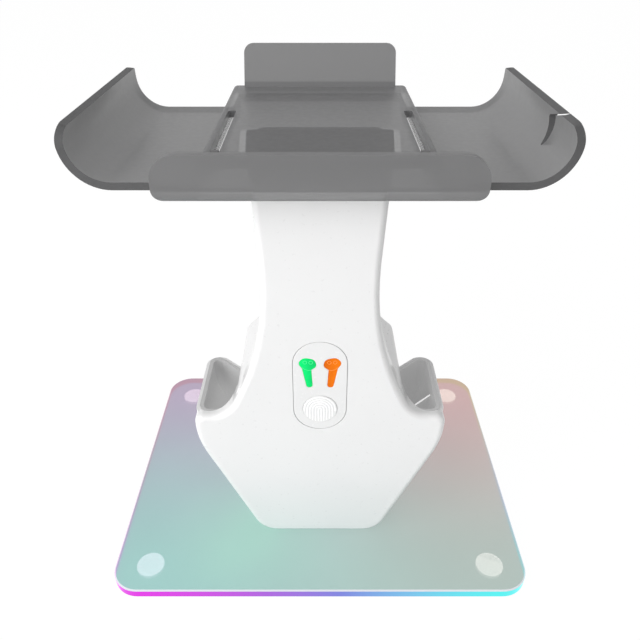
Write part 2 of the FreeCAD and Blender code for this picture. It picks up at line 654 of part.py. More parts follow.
for index, (x, z) in enumerate(SHELL_SCREWS):
    front_cuts.append(rod(f"shell_pilot_{index}", "y", x, "parting - screw_bite - over", z, PILOT,
                          "screw_bite + 2 * over"))
for index, (x, y) in enumerate(MOUNT_SCREWS):
    front_cuts.append(rod(f"head_hole_{index}", "z", x, y, "column_top - shell_wall - over", CLEAR,
                          "shell_wall + 2 * over"))
for side, way in SIDES.items():
    front_cuts.append(block(f"{side}_contact_window",
                            f"{way} * (core_half - shell_wall / 2) - shell_wall",
                            "-contact_front - contact_width / 2 - fit_gap",
                            "contact_height - contact_tall / 2 - fit_gap", "2 * shell_wall",
                            "contact_width + 2 * fit_gap", "contact_tall + 2 * fit_gap"))
front_fitted = joined("front_fitted", [front_opened] + front_inside)
finish("front_shell", cut_away("front_shell", front_fitted, front_cuts))


# Rear shell: the same housing carried back, and sloping in over the pockets to the column's
# slim rear face. It has wells for the shell screws and openings for both sockets.

REAR_EDGE = [
    ("-body_front", "0", None),
    ("body_rear", "0", "rear_foot_round"),
    ("body_rear - rear_belly_in", "rear_belly", "rear_belly_round"),
    ("column_rear", "rear_neck", "rear_neck_round"),
    ("column_rear", "column_top", None),
    ("-body_front", "column_top", None),
]
rear_core = drawn_out("rear_core", "XZ", "parting", "body_rear - parting", mirrored_corners(CORE_EDGE))
rear_profile = drawn_out("rear_profile", "YZ", "-bowl_half", "2 * bowl_half", REAR_EDGE)
rear_form = rounded("rear_form", shared("rear_body", [rear_core, rear_profile]), "rear_edge",
                    lambda edge: edge.BoundBox.YMin > number("parting + over / 2")
                    and edge.BoundBox.XMin * edge.BoundBox.XMax > 0)
rear_hollow = shared("rear_hollow", [
    shrunk("rear_hollow_core", rear_core, "shell_wall", "XZ", "-over", "body_rear"),
    shrunk("rear_hollow_profile", rear_profile, "shell_wall", "YZ", "0", "2 * bowl_half"),
])
REAR_AT_INLET = "(body_rear - rear_belly_in * inlet_height / rear_belly)"
wells = shared("screw_wells", [rear_profile, joined("well_rods", [
    rod(f"well_{index}", "y", x, "parting", z, "screw_head + 2 * well_wall", "body_rear")
    for index, (x, z) in enumerate(SHELL_SCREWS)])])


def socket_hole(name, height, rear):
    """The opening round a charging socket."""
    return drawn_out(name, "XZ", f"{rear} - socket_long", "socket_long + 2 * over",
                     box_corners("-socket_width / 2 - fit_gap", f"{height} - socket_tall / 2 - fit_gap",
                                 "socket_width / 2 + fit_gap", f"{height} + socket_tall / 2 + fit_gap",
                                 f"{BOW} * socket_tall"))


rear_cuts = [
    socket_hole("inlet_hole", "inlet_height", REAR_AT_INLET),
    socket_hole("outlet_hole", "outlet_height", "column_rear"),
    block("rear_floor_opening", "-cover_half", "parting - over", "-over", "2 * cover_half",
          "cover_rear - parting + over", "shell_wall + over + fit_gap"),
]
for index, (x, z) in enumerate(SHELL_SCREWS):
    rear_cuts.append(rod(f"well_bore_{index}", "y", x, "parting + shell_wall", z, "screw_head + 2 * fit_gap",
                         "body_rear"))
    rear_cuts.append(rod(f"well_hole_{index}", "y", x, "parting - over", z, CLEAR, "shell_wall + 2 * over"))
rear_opened = cut_away("rear_opened", rear_form, [rear_hollow])
finish("rear_shell", cut_away("rear_shell", joined("rear_fitted", [rear_opened, wells]), rear_cuts))

gathered("shell_screws", *[screw(f"shell_screw_{index}", "y", x, "parting + shell_wall", z, -1,
                                "screw_bite") for index, (x, z) in enumerate(SHELL_SCREWS)])


# Base cover: it fills the opening under both shells, laps over their floor, and takes the base
# screws in bosses, so that it clamps the shells to the plate. Four posts carry the power board.

LEDGE = "(shell_wall + cover_thick)"
POWER_UNDER = "(inlet_height - socket_tall / 2 - board_thick)"
POWER_REAR = "(body_rear - rear_belly_in - shell_wall - 2 * fit_gap)"
cover_pieces = [
    block("cover_plug", "fit_gap - cover_half", "fit_gap - cover_front", "0", "2 * (cover_half - fit_gap)",
          "cover_front + cover_rear - 2 * fit_gap", "shell_wall"),
    block("cover_ledge_plate", "-cover_half - cover_ledge", "-cover_front - cover_ledge", "shell_wall",
          "2 * (cover_half + cover_ledge)", "cover_front + cover_rear + 2 * cover_ledge", "cover_thick"),
]
for index, (x, y) in enumerate(BASE_SCREWS):
    cover_pieces.append(rod(f"cover_boss_{index}", "z", x, y, "shell_wall", "boss_across", "base_boss_tall"))
POWER_POSTS = [(f"{way} * (power_board_width / 2 - board_screw_side)", f"{POWER_REAR} - ({back})")
               for way in SIDES.values() for back in ("post_rear", "power_board_deep - board_screw_side")]
for index, (x, y) in enumerate(POWER_POSTS):
    cover_pieces.append(rod(f"cover_post_{index}", "z", x, y, "shell_wall", "post_across",
                            f"{POWER_UNDER} - shell_wall"))
finish("base_cover", cut_away("base_cover", joined("cover_form", cover_pieces), [
    rod(f"cover_pilot_{index}", "z", x, y, "-over", PILOT, "base_pilot_long")
    for index, (x, y) in enumerate(BASE_SCREWS)]))
gathered("base_screws", *[
    screw(f"base_screw_{index}", "z", x, y, "screw_head_tall + fit_gap - plate_thick", 1,
          "plate_thick - screw_head_tall - fit_gap + screw_bite")
    for index, (x, y) in enumerate(BASE_SCREWS)])


# Pocket liners: grey cups whose outer wall follows the body's slope. A lip covers the shell's
# edge. The right one has a guide rib across it, as the two controllers are mirror images.

def liner_section(top):
    """A liner from the front, up to a given height."""
    return [
        ("pocket_inner", "pocket_floor", "liner_wall + fit_gap"),
        (f"{LINER_EDGE} + {SLOPE} * pocket_floor", "pocket_floor", "liner_wall + fit_gap"),
        (LINER_OUTER, f"({LINER_OUTER} - {LINER_EDGE}) / {SLOPE}", "bowl_round"),
        (LINER_OUTER, top, None),
        ("pocket_inner", top, None),
    ]


for side, way in SIDES.items():
    plan = pocket_plans[side]
    section = drawn_out(f"{side}_liner_section", "XZ", "-body_front", "body_front + body_rear",
                        across(liner_section("rim_height"), way))
    tall_section = drawn_out(f"{side}_liner_tall_section", "XZ", "-body_front", "body_front + body_rear",
                             across(liner_section("rim_height + mouth_room"), way))
    outer = shared(f"{side}_liner_outer", [plan, section])
    lip = drawn_out(f"{side}_liner_lip", "XY", "rim_height - liner_lip_thick", "liner_lip_thick",
                    across(pocket_plan("liner_lip", "liner_lip"), way))
    hollow = shared(f"{side}_liner_hollow", [
        grown(f"{side}_liner_hollow_plan", plan, "-liner_wall", "0", "rim_height + over"),
        shrunk(f"{side}_liner_hollow_section", tall_section, "liner_wall", "XZ", "0",
               "body_front + body_rear"),
    ])
    window = block(f"{side}_liner_window", f"{way} * (pocket_inner + liner_wall / 2) - liner_wall",
                   "-contact_front - contact_width / 2 - fit_gap",
                   "contact_height - contact_tall / 2 - fit_gap", "2 * liner_wall",
                   "contact_width + 2 * fit_gap", "contact_tall + 2 * fit_gap")
    cup = cut_away(f"{side}_liner_cup", joined(f"{side}_liner_form", [outer, lip]), [hollow, window])
    if side == "right":
        band = drawn_out("rib_band", "XY", "rim_height - rib_drop - rib_tall", "rib_tall", [
            ("pocket_inner", "-pocket_rear_inner - rib_ahead - rib_thick", None),
            (LINER_OUTER, "pocket_rear_outer - rib_ahead - rib_thick", None),
            (LINER_OUTER, "pocket_rear_outer - rib_ahead", None),
            ("pocket_inner", "-pocket_rear_inner - rib_ahead", None),
        ])
        cup = joined("right_liner_ribbed", [cup, shared("guide_rib", [band, outer])])
    finish(f"{side}_pocket_liner", cup)


# Charging contacts: in each pocket a block of sprung pins stands through the housing's wall and
# the liner, with its board behind it.

CONTACT_IN = "(core_half - shell_wall)"
CONTACT_FACE = "(pocket_inner + liner_wall + contact_out)"


def sideways(name, way, near, far, y, z, depth, height):
    """A block that spans two distances from the middle plane, on one side of it."""
    left = near if way > 0 else f"-({far})"
    return block(name, left, y, z, f"{far} - {near}", depth, height)


for side, way in SIDES.items():
    pin_places = [f"-contact_front + ({index} - (pin_count - 1) / 2) * pin_pitch"
                  for index in range(int(number("pin_count")))]
    start = CONTACT_IN + " - board_thick"
    flange = sideways(f"{side}_contact_flange", way, f"({start})", CONTACT_IN,
                      "-contact_front - contact_width / 2 - contact_flange",
                      "contact_height - contact_tall / 2 - contact_flange",
                      "contact_width + 2 * contact_flange", "contact_tall + 2 * contact_flange")
    nose = sideways(f"{side}_contact_nose", way, CONTACT_IN, CONTACT_FACE,
                    "-contact_front - contact_width / 2", "contact_height - contact_tall / 2",
                    "contact_width", "contact_tall")
    pins, bores = [], []
    pin_long = f"{CONTACT_FACE} + pin_out - ({start})"
    pin_start = start if way > 0 else f"-({CONTACT_FACE} + pin_out)"
    for index, y in enumerate(pin_places):
        pins.append(rod(f"{side}_pin_{index}", "x", pin_start, y, "contact_height", "pin_across", pin_long))
        bores.append(rod(f"{side}_pin_bore_{index}", "x", pin_start, y, "contact_height",
                         "pin_across + fit_gap / 2", pin_long))
    finish(f"{side}_contact_block", cut_away(f"{side}_contact_bored",
                                             joined(f"{side}_contact_form", [flange, nose]), bores))
    gathered(f"{side}_contact_pins", *pins)
    gathered(f"{side}_contact_board",
             sideways(f"{side}_contact_sheet", way, f"({start} - board_thick)", f"({start})",
                      "-contact_front - contact_width / 2 - contact_flange",
                      "contact_height - contact_tall / 2 - contact_flange",
                      "contact_width + 2 * contact_flange", "contact_tall + 2 * contact_flange"))


# Touch panel: a long rounded insert with a seam round it, flush with the front. It has a
# controller-shaped light on either side and a touch disc below, all against the touch board.

PANEL_BACK = "(panel_thick - body_front)"
TOUCH_BOARD = f"({PANEL_BACK} + touch_board_gap)"
ICON_Z = "panel_height + icon_above"
TOUCH_Z = "(panel_height - touch_below)"


def icon_corners(way):
    """A controller seen from its side: a tilted oval head, and a stem that leans to the middle."""
    corners = [
        ("-icon_lean - icon_stem / 2", "-icon_long", "icon_round_end"),
        ("icon_stem / 2 - icon_lean", "-icon_long", "icon_round_end"),
    ]
    head = [
        ("(icon_neck_off + icon_neck / 2)", "-icon_neck_drop", None),
        ("icon_head / 2", "-icon_side_low", "icon_round_side"),
        ("icon_crown / 2", "icon_crown_rise", "icon_round_crown"),
        ("-icon_crown / 2", "icon_crown_rise", "icon_round_crown"),
        ("-icon_head / 2", "-icon_side_low", "icon_round_side"),
        ("(icon_neck_off - icon_neck / 2)", "-icon_neck_drop", None),
    ]
    for along, up, radius in head:
        corners.append((f"{along} * cos(icon_tilt) - ({up}) * sin(icon_tilt)",
                        f"{along} * sin(icon_tilt) + {up} * cos(icon_tilt)", radius))
    return [(f"{way} * icon_shift + {x}", f"{ICON_Z} + {z}", radius) for x, z, radius in across(corners, way)]


panel = drawn_out("panel_insert", "XZ", "-body_front", "panel_thick",
                  box_corners("-panel_width / 2", "panel_height - panel_tall / 2", "panel_width / 2",
                              "panel_height + panel_tall / 2", f"{BOW} * panel_width"))
panel_posts = [rod(f"panel_post_{index}", "y", "0", "-body_front + panel_thick / 2", z, "post_across",
                   "touch_board_gap + panel_thick / 2")
               for index, z in enumerate((f"{TOUCH_Z} + touch_across / 2 + post_across",
                                          "panel_height + touch_board_tall / 2 - post_across"))]
panel_holes = [rod("touch_hole", "y", "0", "-body_front - over", TOUCH_Z, "touch_across + fit_gap",
                   "panel_thick + 2 * over")]
for side, way in SIDES.items():
    lamp = drawn_out(f"{side}_lamp", "XZ", "-body_front", "panel_thick + touch_board_gap", icon_corners(way))
    panel_holes.append(shrunk(f"{side}_lamp_hole", lamp, "-fit_gap / 2", "XZ", "-over",
                              "panel_thick + 2 * over"))
    finish(f"{side}_indicator", lamp)
finish("front_panel", cut_away("front_panel", joined("panel_form", [panel] + panel_posts), panel_holes))
gathered("touch_disc",
         rod("touch_disc_bar", "y", "0", "-body_front - touch_proud", TOUCH_Z, "touch_across",
             "touch_proud + panel_thick + touch_board_gap"))
gathered("touch_board",
         block("touch_board_sheet", "-touch_board_width / 2", TOUCH_BOARD,
               "panel_height - touch_board_tall / 2", "touch_board_width", "board_thick", "touch_board_tall"))


# Main board on four bosses behind the front, and the two sockets on boards of their own.

main_sheet = block("main_sheet", "-main_board_width / 2", "-main_board_front", "main_board_foot",
                   "main_board_width", "board_thick", "main_board_tall")
finish("main_board", cut_away("main_board", main_sheet, [
    rod(f"main_hole_{index}", "y", x, "-main_board_front - over", z, CLEAR, "board_thick + 2 * over")
    for index, (x, z) in enumerate(BOARD_SCREWS)]))
gathered("main_board_screws", *[
    screw(f"main_board_screw_{index}", "y", x, "board_thick - main_board_front", z, -1, "screw_bite")
    for index, (x, z) in enumerate(BOARD_SCREWS)])


def socket(name, height, rear):
    """A flattened metal tube, closed at the back, with a tongue down its middle."""
    can = drawn_out(name + "_can", "XZ", f"{rear} - socket_long", "socket_long",
                    box_corners("-socket_width / 2", f"{height} - socket_tall / 2", "socket_width / 2",
                                f"{height} + socket_tall / 2", f"{BOW} * socket_tall"))
    mouth = shrunk(name + "_mouth", can, "socket_wall", "XZ", "socket_back", "socket_long")
    tongue = block(name + "_tongue", "-tongue_width / 2", f"{rear} - socket_long",
                   f"{height} - tongue_thick / 2", "tongue_width", "tongue_long", "tongue_thick")
    return joined(name, [cut_away(name + "_shell", can, [mouth]), tongue])


gathered("power_board",
         block("power_board_sheet", "-power_board_width / 2", f"{POWER_REAR} - power_board_deep", POWER_UNDER,
               "power_board_width", "power_board_deep", "board_thick"))
finish("power_inlet", socket("power_inlet", "inlet_height", REAR_AT_INLET))
gathered("outlet_board",
         block("outlet_board_sheet", "-outlet_board_width / 2", "parting - outlet_board_deep", SHELF_TOP,
               "outlet_board_width", "outlet_board_deep", "board_thick"))
finish("headset_outlet", socket("headset_outlet", "outlet_height", "column_rear"))


# Cradle mount: a dark block on the column's head that fills the platform's collar. A bar across
# its front carries a hook into the front end of each platform slot.

PLATFORM_UNDER = "(platform_top - cradle_thick)"
MOUNT_PLAN = [
    ("-mount_front_half", "-mount_front", None),
    ("mount_front_half", "-mount_front", None),
    ("mount_rear_half", "-mount_rear", "mount_round"),
    ("-mount_rear_half", "-mount_rear", "mount_round"),
]
mount_block = drawn_out("mount_block", "XY", "column_top", f"{PLATFORM_UNDER} - column_top", MOUNT_PLAN)
MOUNT_HOLE = f"({PLATFORM_UNDER} - column_top + over - 3 * fit_gap)"
SLOT_OUT = "(slot_middle + slot_width / 2 - fit_gap)"
mount_bar = block("mount_bar", f"-{SLOT_OUT}", "-slot_front + fit_gap", f"{PLATFORM_UNDER} - cradle_thick",
                  f"2 * {SLOT_OUT}", "hook_deep", "cradle_thick")
hooks = []
for side, way in SIDES.items():
    hooks.append(drawn_out(f"{side}_hook", "XY", f"{PLATFORM_UNDER} - cradle_thick",
                           "2 * cradle_thick + hook_proud",
                           box_corners(f"{way} * slot_middle - slot_width / 2 + fit_gap",
                                       "-slot_front + fit_gap",
                                       f"{way} * slot_middle + slot_width / 2 - fit_gap",
                                       "-slot_front + fit_gap + hook_deep", "slot_round - fit_gap")))
finish("cradle_mount", cut_away("cradle_mount", joined("mount_form", [mount_block, mount_bar] + hooks), [
    rod(f"mount_hole_{index}", "z", x, y, "column_top - over", PILOT, MOUNT_HOLE)
    for index, (x, y) in enumerate(MOUNT_SCREWS)]))
gathered("mount_screws", *[
    screw(f"mount_screw_{index}", "z", x, y, "column_top - shell_wall", 1,
          f"shell_wall + {MOUNT_HOLE} - over - fit_gap")
    for index, (x, y) in enumerate(MOUNT_SCREWS)])


# Headset cradle: one smoked clear moulding of even thickness. Flat wings curl up at both ends,
# a hollow platform stands between them, a lip is turned up in front and a rest leans back.

WING_LOW = "(wing_top - cradle_thick)"
BEND = "tan(wing_turn / 2)"
WING_CORNER = f"(wing_flat_half + wing_round * {BEND})"
TIP_RUN = f"(wing_round * {BEND} + wing_tip)"
TIP_X = f"({WING_CORNER} + {TIP_RUN} * cos(wing_turn))"
TIP_Z = f"({WING_LOW} + {TIP_RUN} * sin(wing_turn))"
WING_EDGE = [
    (WING_CORNER, WING_LOW, "wing_round"),
    (TIP_X, TIP_Z, None),
    (f"{TIP_X} - cradle_thick * sin(wing_turn)", f"{TIP_Z} + cradle_thick * cos(wing_turn)", None),
    (f"{WING_CORNER} - cradle_thick * {BEND}", "wing_top", "wing_round - cradle_thick"),
]
wings = shared("wings", [
    drawn_out("wing_sheet", "XZ", "-cradle_half_depth", "2 * cradle_half_depth", mirrored_corners(WING_EDGE)),
    drawn_out("wing_side", "YZ", f"-{WING_CORNER}", f"2 * {WING_CORNER}", [
        ("-cradle_half_depth", f"{WING_LOW} - over", None),
        ("cradle_half_depth", f"{WING_LOW} - over", None),
        ("cradle_half_depth", TIP_Z, "tip_round_rear"),
        ("-cradle_half_depth", TIP_Z, "tip_round_front"),
    ]),
])
platform = drawn_out("platform", "XZ", "-platform_half_depth", "2 * platform_half_depth", [
    ("-platform_half", WING_LOW, None),
    ("platform_half", WING_LOW, None),
    ("platform_half", "platform_top", "platform_round"),
    ("-platform_half", "platform_top", "platform_round"),
])
lip = shared("lip", [
    drawn_out("lip_section", "YZ", "-lip_half", "2 * lip_half", [
        ("-lip_front", WING_LOW, "lip_bend"),
        ("cradle_thick - cradle_half_depth", WING_LOW, None),
        ("cradle_thick - cradle_half_depth", "wing_top", None),
        ("cradle_thick - lip_front", "wing_top", "lip_bend - cradle_thick"),
        ("cradle_thick - lip_front", "lip_top", None),
        ("-lip_front", "lip_top", None),
    ]),
    drawn_out("lip_face", "XZ", "-lip_front", "lip_front", [
        ("-lip_half", WING_LOW, "lip_round_low"),
        ("lip_half", WING_LOW, "lip_round_low"),
        ("lip_half", "lip_top", "lip_round_top"),
        ("-lip_half", "lip_top", "lip_round_top"),
    ]),
])
rest = drawn_out("rest", "XZ", "0", "cradle_thick", [
    ("-rest_half", "-cradle_thick", None),
    ("rest_half", "-cradle_thick", None),
    ("rest_half", "rest_long", "rest_round"),
    ("-rest_half", "rest_long", "rest_round"),
])
rest.Placement = FreeCAD.Placement(FreeCAD.Vector(), FreeCAD.Rotation(FreeCAD.Vector(-1, 0, 0), 1))
attach(rest, {"Placement.Base.y": "platform_half_depth - cradle_thick", "Placement.Base.z": "platform_top",
              "Placement.Rotation.Angle": "rest_lean"})
NOTCH_FRONT = "(-notch_top_front - notch_wide)"
SLIT_BACK = f"({NOTCH_FRONT} + 2 * notch_slit)"
SLIT_FRONT = f"({NOTCH_FRONT} - notch_wide)"


def notch_rise(y, up):
    """Height of the lead hole's slanting top at a depth, and a little above or below it."""
    return f"notch_top + notch_rise * (-notch_top_front - ({y})) + {up}"


cradle_cuts = [
    block("platform_hollow", "cradle_thick - platform_half", "cradle_thick - platform_half_depth",
          f"{WING_LOW} - over", "2 * (platform_half - cradle_thick)",
          "2 * (platform_half_depth - cradle_thick)", f"{PLATFORM_UNDER} - {WING_LOW} + over"),
    block("rear_wall_relief", "cradle_thick - platform_half", "platform_half_depth - cradle_thick - over",
          f"{WING_LOW} - over", "2 * (platform_half - cradle_thick)", "cradle_thick + 2 * over",
          f"platform_rear_foot - {WING_LOW} + over"),
    drawn_out("lead_hole", "YZ", "wing_flat_half", "2 * wing_round", [
        ("-notch_low_front", "notch_low", "notch_round"),
        ("-notch_top_front", "notch_top", "notch_round"),
        (NOTCH_FRONT, notch_rise(NOTCH_FRONT, "0"), "notch_round"),
        (f"{NOTCH_FRONT} + notch_round / 2", "notch_low + 4 * notch_round", "2 * notch_round"),
    ]),
    drawn_out("lead_slit", "YZ", "wing_flat_half", "2 * wing_round", [
        (SLIT_BACK, notch_rise(SLIT_BACK, "-notch_slit"), None),
        (SLIT_BACK, notch_rise(SLIT_BACK, "0"), None),
        (SLIT_FRONT, notch_rise(SLIT_FRONT, "0"), None),
        (SLIT_FRONT, notch_rise(SLIT_FRONT, "-notch_slit"), None),
    ]),
]
for side, way in SIDES.items():
    cradle_cuts.append(drawn_out(f"{side}_slot", "XY", f"{PLATFORM_UNDER} - over", "cradle_thick + 2 * over",
                                 box_corners(f"{way} * slot_middle - slot_width / 2", "-slot_front",
                                             f"{way} * slot_middle + slot_width / 2", "slot_rear",
                                             "slot_round")))
    cradle_cuts.append(sideways(f"{side}_relief", way, "lip_web_half", "(lip_half + fit_gap)",
                                "cradle_thick - lip_front", f"{WING_LOW} - over",
                                "lip_front - cradle_thick - cradle_half_depth + relief_deep",
                                "cradle_thick + 2 * over"))
cradle_sheet = cut_away("cradle_sheet", joined("cradle_form", [wings, platform, lip, rest]), cradle_cuts)
collar_outer = grown("collar_outer", mount_block, "collar_wall + fit_gap", "collar_foot - column_top",
                     f"{PLATFORM_UNDER} - collar_foot")
collar_inner = grown("collar_inner", mount_block, "fit_gap", "collar_foot - column_top - over",
                     f"{PLATFORM_UNDER} - collar_foot + over")
bar_room = block("bar_room", "-platform_half", "-platform_half_depth", f"{PLATFORM_UNDER} - 2 * cradle_thick",
                 "2 * platform_half", "platform_half_depth - slot_front + hook_deep + 2 * fit_gap",
                 "2 * cradle_thick")
collar = cut_away("collar", collar_outer, [collar_inner, bar_room])
finish("headset_cradle", joined("headset_cradle", [cradle_sheet, collar]))


# Check every object, then write each node's shape to its own file.

doc.recompute()
for item in doc.Objects:
    if "Invalid" in item.State or "Error" in item.State:
        raise RuntimeError(f"{item.Name} failed: {item.State}")
for node in NODES:
    if node.Shape.isNull() or not node.Shape.isValid():
        raise RuntimeError(f"{node.Label} has no valid shape")
os.makedirs("parts", exist_ok=True)
for node in NODES:
    node.Shape.exportStep(f"parts/{node.Label}.step")
    print(node.Label, len(node.Shape.Solids), "solids", round(node.Shape.Volume), "cubic mm")
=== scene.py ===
import json
import math

import bmesh
import bpy
from mathutils import Matrix, Vector


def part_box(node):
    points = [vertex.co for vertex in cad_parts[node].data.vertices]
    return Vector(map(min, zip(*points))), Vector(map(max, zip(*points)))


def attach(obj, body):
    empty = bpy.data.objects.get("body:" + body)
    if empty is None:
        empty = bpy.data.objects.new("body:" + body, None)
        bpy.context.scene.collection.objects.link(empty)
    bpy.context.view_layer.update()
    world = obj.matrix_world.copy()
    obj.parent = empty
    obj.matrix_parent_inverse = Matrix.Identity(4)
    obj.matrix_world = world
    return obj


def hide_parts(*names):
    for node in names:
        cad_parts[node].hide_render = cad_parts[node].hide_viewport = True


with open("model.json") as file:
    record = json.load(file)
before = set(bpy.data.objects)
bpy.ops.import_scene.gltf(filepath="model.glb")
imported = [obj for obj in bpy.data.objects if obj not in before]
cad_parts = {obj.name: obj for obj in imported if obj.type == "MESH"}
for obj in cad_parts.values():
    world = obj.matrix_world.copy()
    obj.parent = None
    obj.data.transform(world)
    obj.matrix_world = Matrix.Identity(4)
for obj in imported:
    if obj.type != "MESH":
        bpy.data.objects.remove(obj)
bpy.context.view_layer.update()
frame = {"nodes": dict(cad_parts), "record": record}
nodes = frame["nodes"]
slot_of = {part["node"]: part["material_slot"] for part in frame["record"]["subparts"]}
scene = bpy.context.scene


# The studio: a pale table top in a white surround, with a large soft lamp at the front left and a
# weak one overhead. Table and surround look white, also mirrored or through clear pieces, and the
# table keeps a faint shadow of the dock.
STUDIO_WHITE = (1.0, 1.0, 1.0, 1.0)
SURROUND_LEVEL = 0.46
TABLE_GREY = (0.9, 0.9, 0.9, 1.0)
TABLE_GLOW = 1.03
TABLE_SHADOW_SHARE = 0.06
TABLE_SIZE = 8.0
# Each lamp: its name, its place, the point it faces, its side in metres and its power in watts.
LAMPS = (
    ("overhead_lamp", (0.0, 0.1, 1.3), (0.0, 0.0, 0.1), 1.2, 0.4),
    ("front_left_lamp", (-1.15, -1.05, 0.66), (0.0, 0.0, 0.12), 1.8, 28.5),
)


class Flow:
    """One value in a tree of nodes. Sums and products of these add their Math nodes."""

    def __init__(self, tree, socket=None):
        self.tree = tree
        self.socket = socket

    def node(self, kind, settings=None, sockets=None, output=0):
        """Adds a node, with its settings first and then the values or links of its sockets."""
        made = self.tree.nodes.new(kind if "Node" in kind else "ShaderNode" + kind)
        for name, value in (settings or {}).items():
            if name == "stops":
                ramp = made.color_ramp.elements
                while len(ramp) < len(value):
                    ramp.new(1.0)
                for stop, (place, colour) in zip(ramp, value):
                    stop.position = place
                    stop.color = colour
            else:
                setattr(made, name, value)
        for name, value in (sockets or {}).items():
            for each in value if isinstance(value, list) else [value]:
                if isinstance(each, Flow):
                    self.tree.links.new(each.socket, made.inputs[name])
                else:
                    made.inputs[name].default_value = each
        return Flow(self.tree, made.outputs[output]) if len(made.outputs) else None

    def maths(self, operation, *values):
        """A Math node with the given values on its sockets, in their order."""
        return self.node("Math", {"operation": operation}, dict(enumerate(values)))

    def __add__(self, other):
        return self.maths("ADD", self, other)

    def __sub__(self, other):
        return self.maths("SUBTRACT", self, other)

    def __rsub__(self, other):
        return self.maths("SUBTRACT", other, self)

    def __mul__(self, other):
        return self.maths("MULTIPLY", self, other)

    def __truediv__(self, other):
        return self.maths("DIVIDE", self, other)

    def smooth(self, low, high):
        """0 below low, 1 above high, and an even blend between."""
        return self.node("MapRange", {"interpolation_type": "SMOOTHSTEP"},
                         {"Value": self, "From Min": low, "From Max": high})

    def mixed(self, first, second):
        """A colour that goes from the first to the second as this value goes from 0 to 1."""
        return self.node("Mix", {"data_type": "RGBA"}, {0: self, 6: first, 7: second}, output=2)


def flow_of(holder):
    """An empty node tree of a material or the world, ready for formulas."""
    holder.use_nodes = True
    holder.node_tree.nodes.clear()
    return Flow(holder.node_tree)


def looked_at(light):
    """1 where a surface is seen, mirrored or through a clear piece, 0 for the light it gives."""
    seen = light.node("LightPath", output="Is Camera Ray")
    for way in ("Is Glossy Ray", "Is Transmission Ray"):
        seen = light.maths("MAXIMUM", seen, light.node("LightPath", output=way))
    return seen


surround = bpy.data.worlds.new("surround")
scene.world = surround
light = flow_of(surround)
strength = looked_at(light) * (1 - SURROUND_LEVEL) + SURROUND_LEVEL
glow = light.node("Background", None, {"Color": STUDIO_WHITE, "Strength": strength})
light.node("OutputWorld", None, {"Surface": glow})

half = TABLE_SIZE / 2
corners = [(-half, -half, 0), (half, -half, 0), (half, half, 0), (-half, half, 0)]
table_mesh = bpy.data.meshes.new("table_top")
table_mesh.from_pydata(corners, [], [(0, 1, 2, 3)])
table = bpy.data.objects.new("table_top", table_mesh)
scene.collection.objects.link(table)
table_paint = bpy.data.materials.new("table_paint")
table_mesh.materials.append(table_paint)
light = flow_of(table_paint)
matt = light.node("BsdfDiffuse", None, {"Color": TABLE_GREY})
white = light.node("Emission", None, {"Color": STUDIO_WHITE, "Strength": TABLE_GLOW})
shown_white = looked_at(light) * (1 - TABLE_SHADOW_SHARE)
surface = light.node("MixShader", None, {0: shown_white, 1: matt, 2: white})
light.node("OutputMaterial", None, {"Surface": surface})

for name, place, target, size, power in LAMPS:
    lamp = bpy.data.lights.new(name, "AREA")
    lamp.shape = "SQUARE"
    lamp.size = size
    lamp.energy = power
    holder = bpy.data.objects.new(name, lamp)
    holder.location = place
    holder.rotation_euler = (Vector(target) - Vector(place)).to_track_quat("-Z", "Y").to_euler()
    scene.collection.objects.link(holder)


# The camera: in front of the dock and a little above the cradle, looking down over it, as the
# photographer stood. The whole dock fills the frame.
CAMERA_PLACE = (0.0, -0.287, 0.3085)
CAMERA_DOWN = math.radians(33.3)
CAMERA_LENS = 35.04
CAMERA_NEAREST = 0.01
camera = bpy.data.objects.new("camera", bpy.data.cameras.new("camera"))
camera.location = CAMERA_PLACE
camera.rotation_euler = (math.pi / 2 - CAMERA_DOWN, 0, 0)
camera.data.lens = CAMERA_LENS
camera.data.clip_start = CAMERA_NEAREST
scene.collection.objects.link(camera)
scene.camera = camera
scene.view_settings.view_transform = "Standard"


# The base plate: cut from clear acrylic, with its top edge bevelled and polished. Lamps under the
# body light it from inside, so its faces show a soft wash of colour and its cut edges glow round
# the colour wheel. The bevel carries a painted highlight, a pale line that glows.
PLATE_FRONT_LEFT = (0.30, 0.60, 0.56, 1.0)
PLATE_FRONT_RIGHT = (0.40, 0.49, 0.45, 1.0)
PLATE_BACK_LEFT = (0.42, 0.34, 0.48, 1.0)
PLATE_BACK_RIGHT = (0.66, 0.42, 0.42, 1.0)
PLATE_GLINT = (0.36, 0.70, 0.56, 1.0)
GLINT_PLACE = (-0.040, -0.052, 0.0)
GLINT_REACH = 0.055
# Painted highlight: the bevel is painted as a pale line that glows.
BEVEL_HIGHLIGHT = (0.44, 0.43, 0.47, 1.0)
CUT_DARK = (0.02, 0.02, 0.02, 1.0)
UNLIT = (0.0, 0.0, 0.0, 1.0)
# The colours of the cut edge, going once round the plate from the middle of its left side.
EDGE_STOPS = (
    (0.00, (0.50, 0.18, 0.30, 1.0)),
    (0.12, (0.74, 0.00, 0.76, 1.0)),
    (0.20, (0.38, 0.09, 0.69, 1.0)),
    (0.27, (0.17, 0.20, 0.69, 1.0)),
    (0.33, (0.15, 0.50, 0.78, 1.0)),
    (0.38, (0.05, 0.85, 0.84, 1.0)),
    (0.46, (0.35, 0.50, 0.75, 1.0)),
    (0.60, (0.58, 0.60, 0.24, 1.0)),
    (0.75, (0.62, 0.45, 0.28, 1.0)),
    (0.90, (0.62, 0.24, 0.22, 1.0)),
    (1.00, (0.50, 0.18, 0.30, 1.0)),
)
# A value that wanders is given by the scale of its noise and the two ends it goes between.
GLINT_STRENGTH = (22.0, 0.35, 0.75)
FACE_TINT = (12.0, 0.42, 0.48)
FACE_GLOW = (7.0, 0.58, 0.64)
FACE_ALPHA = (9.0, 0.64, 0.68)
PLATE_ROUGH = (60.0, 0.14, 0.20)
PLATE_SHINE = 0.2
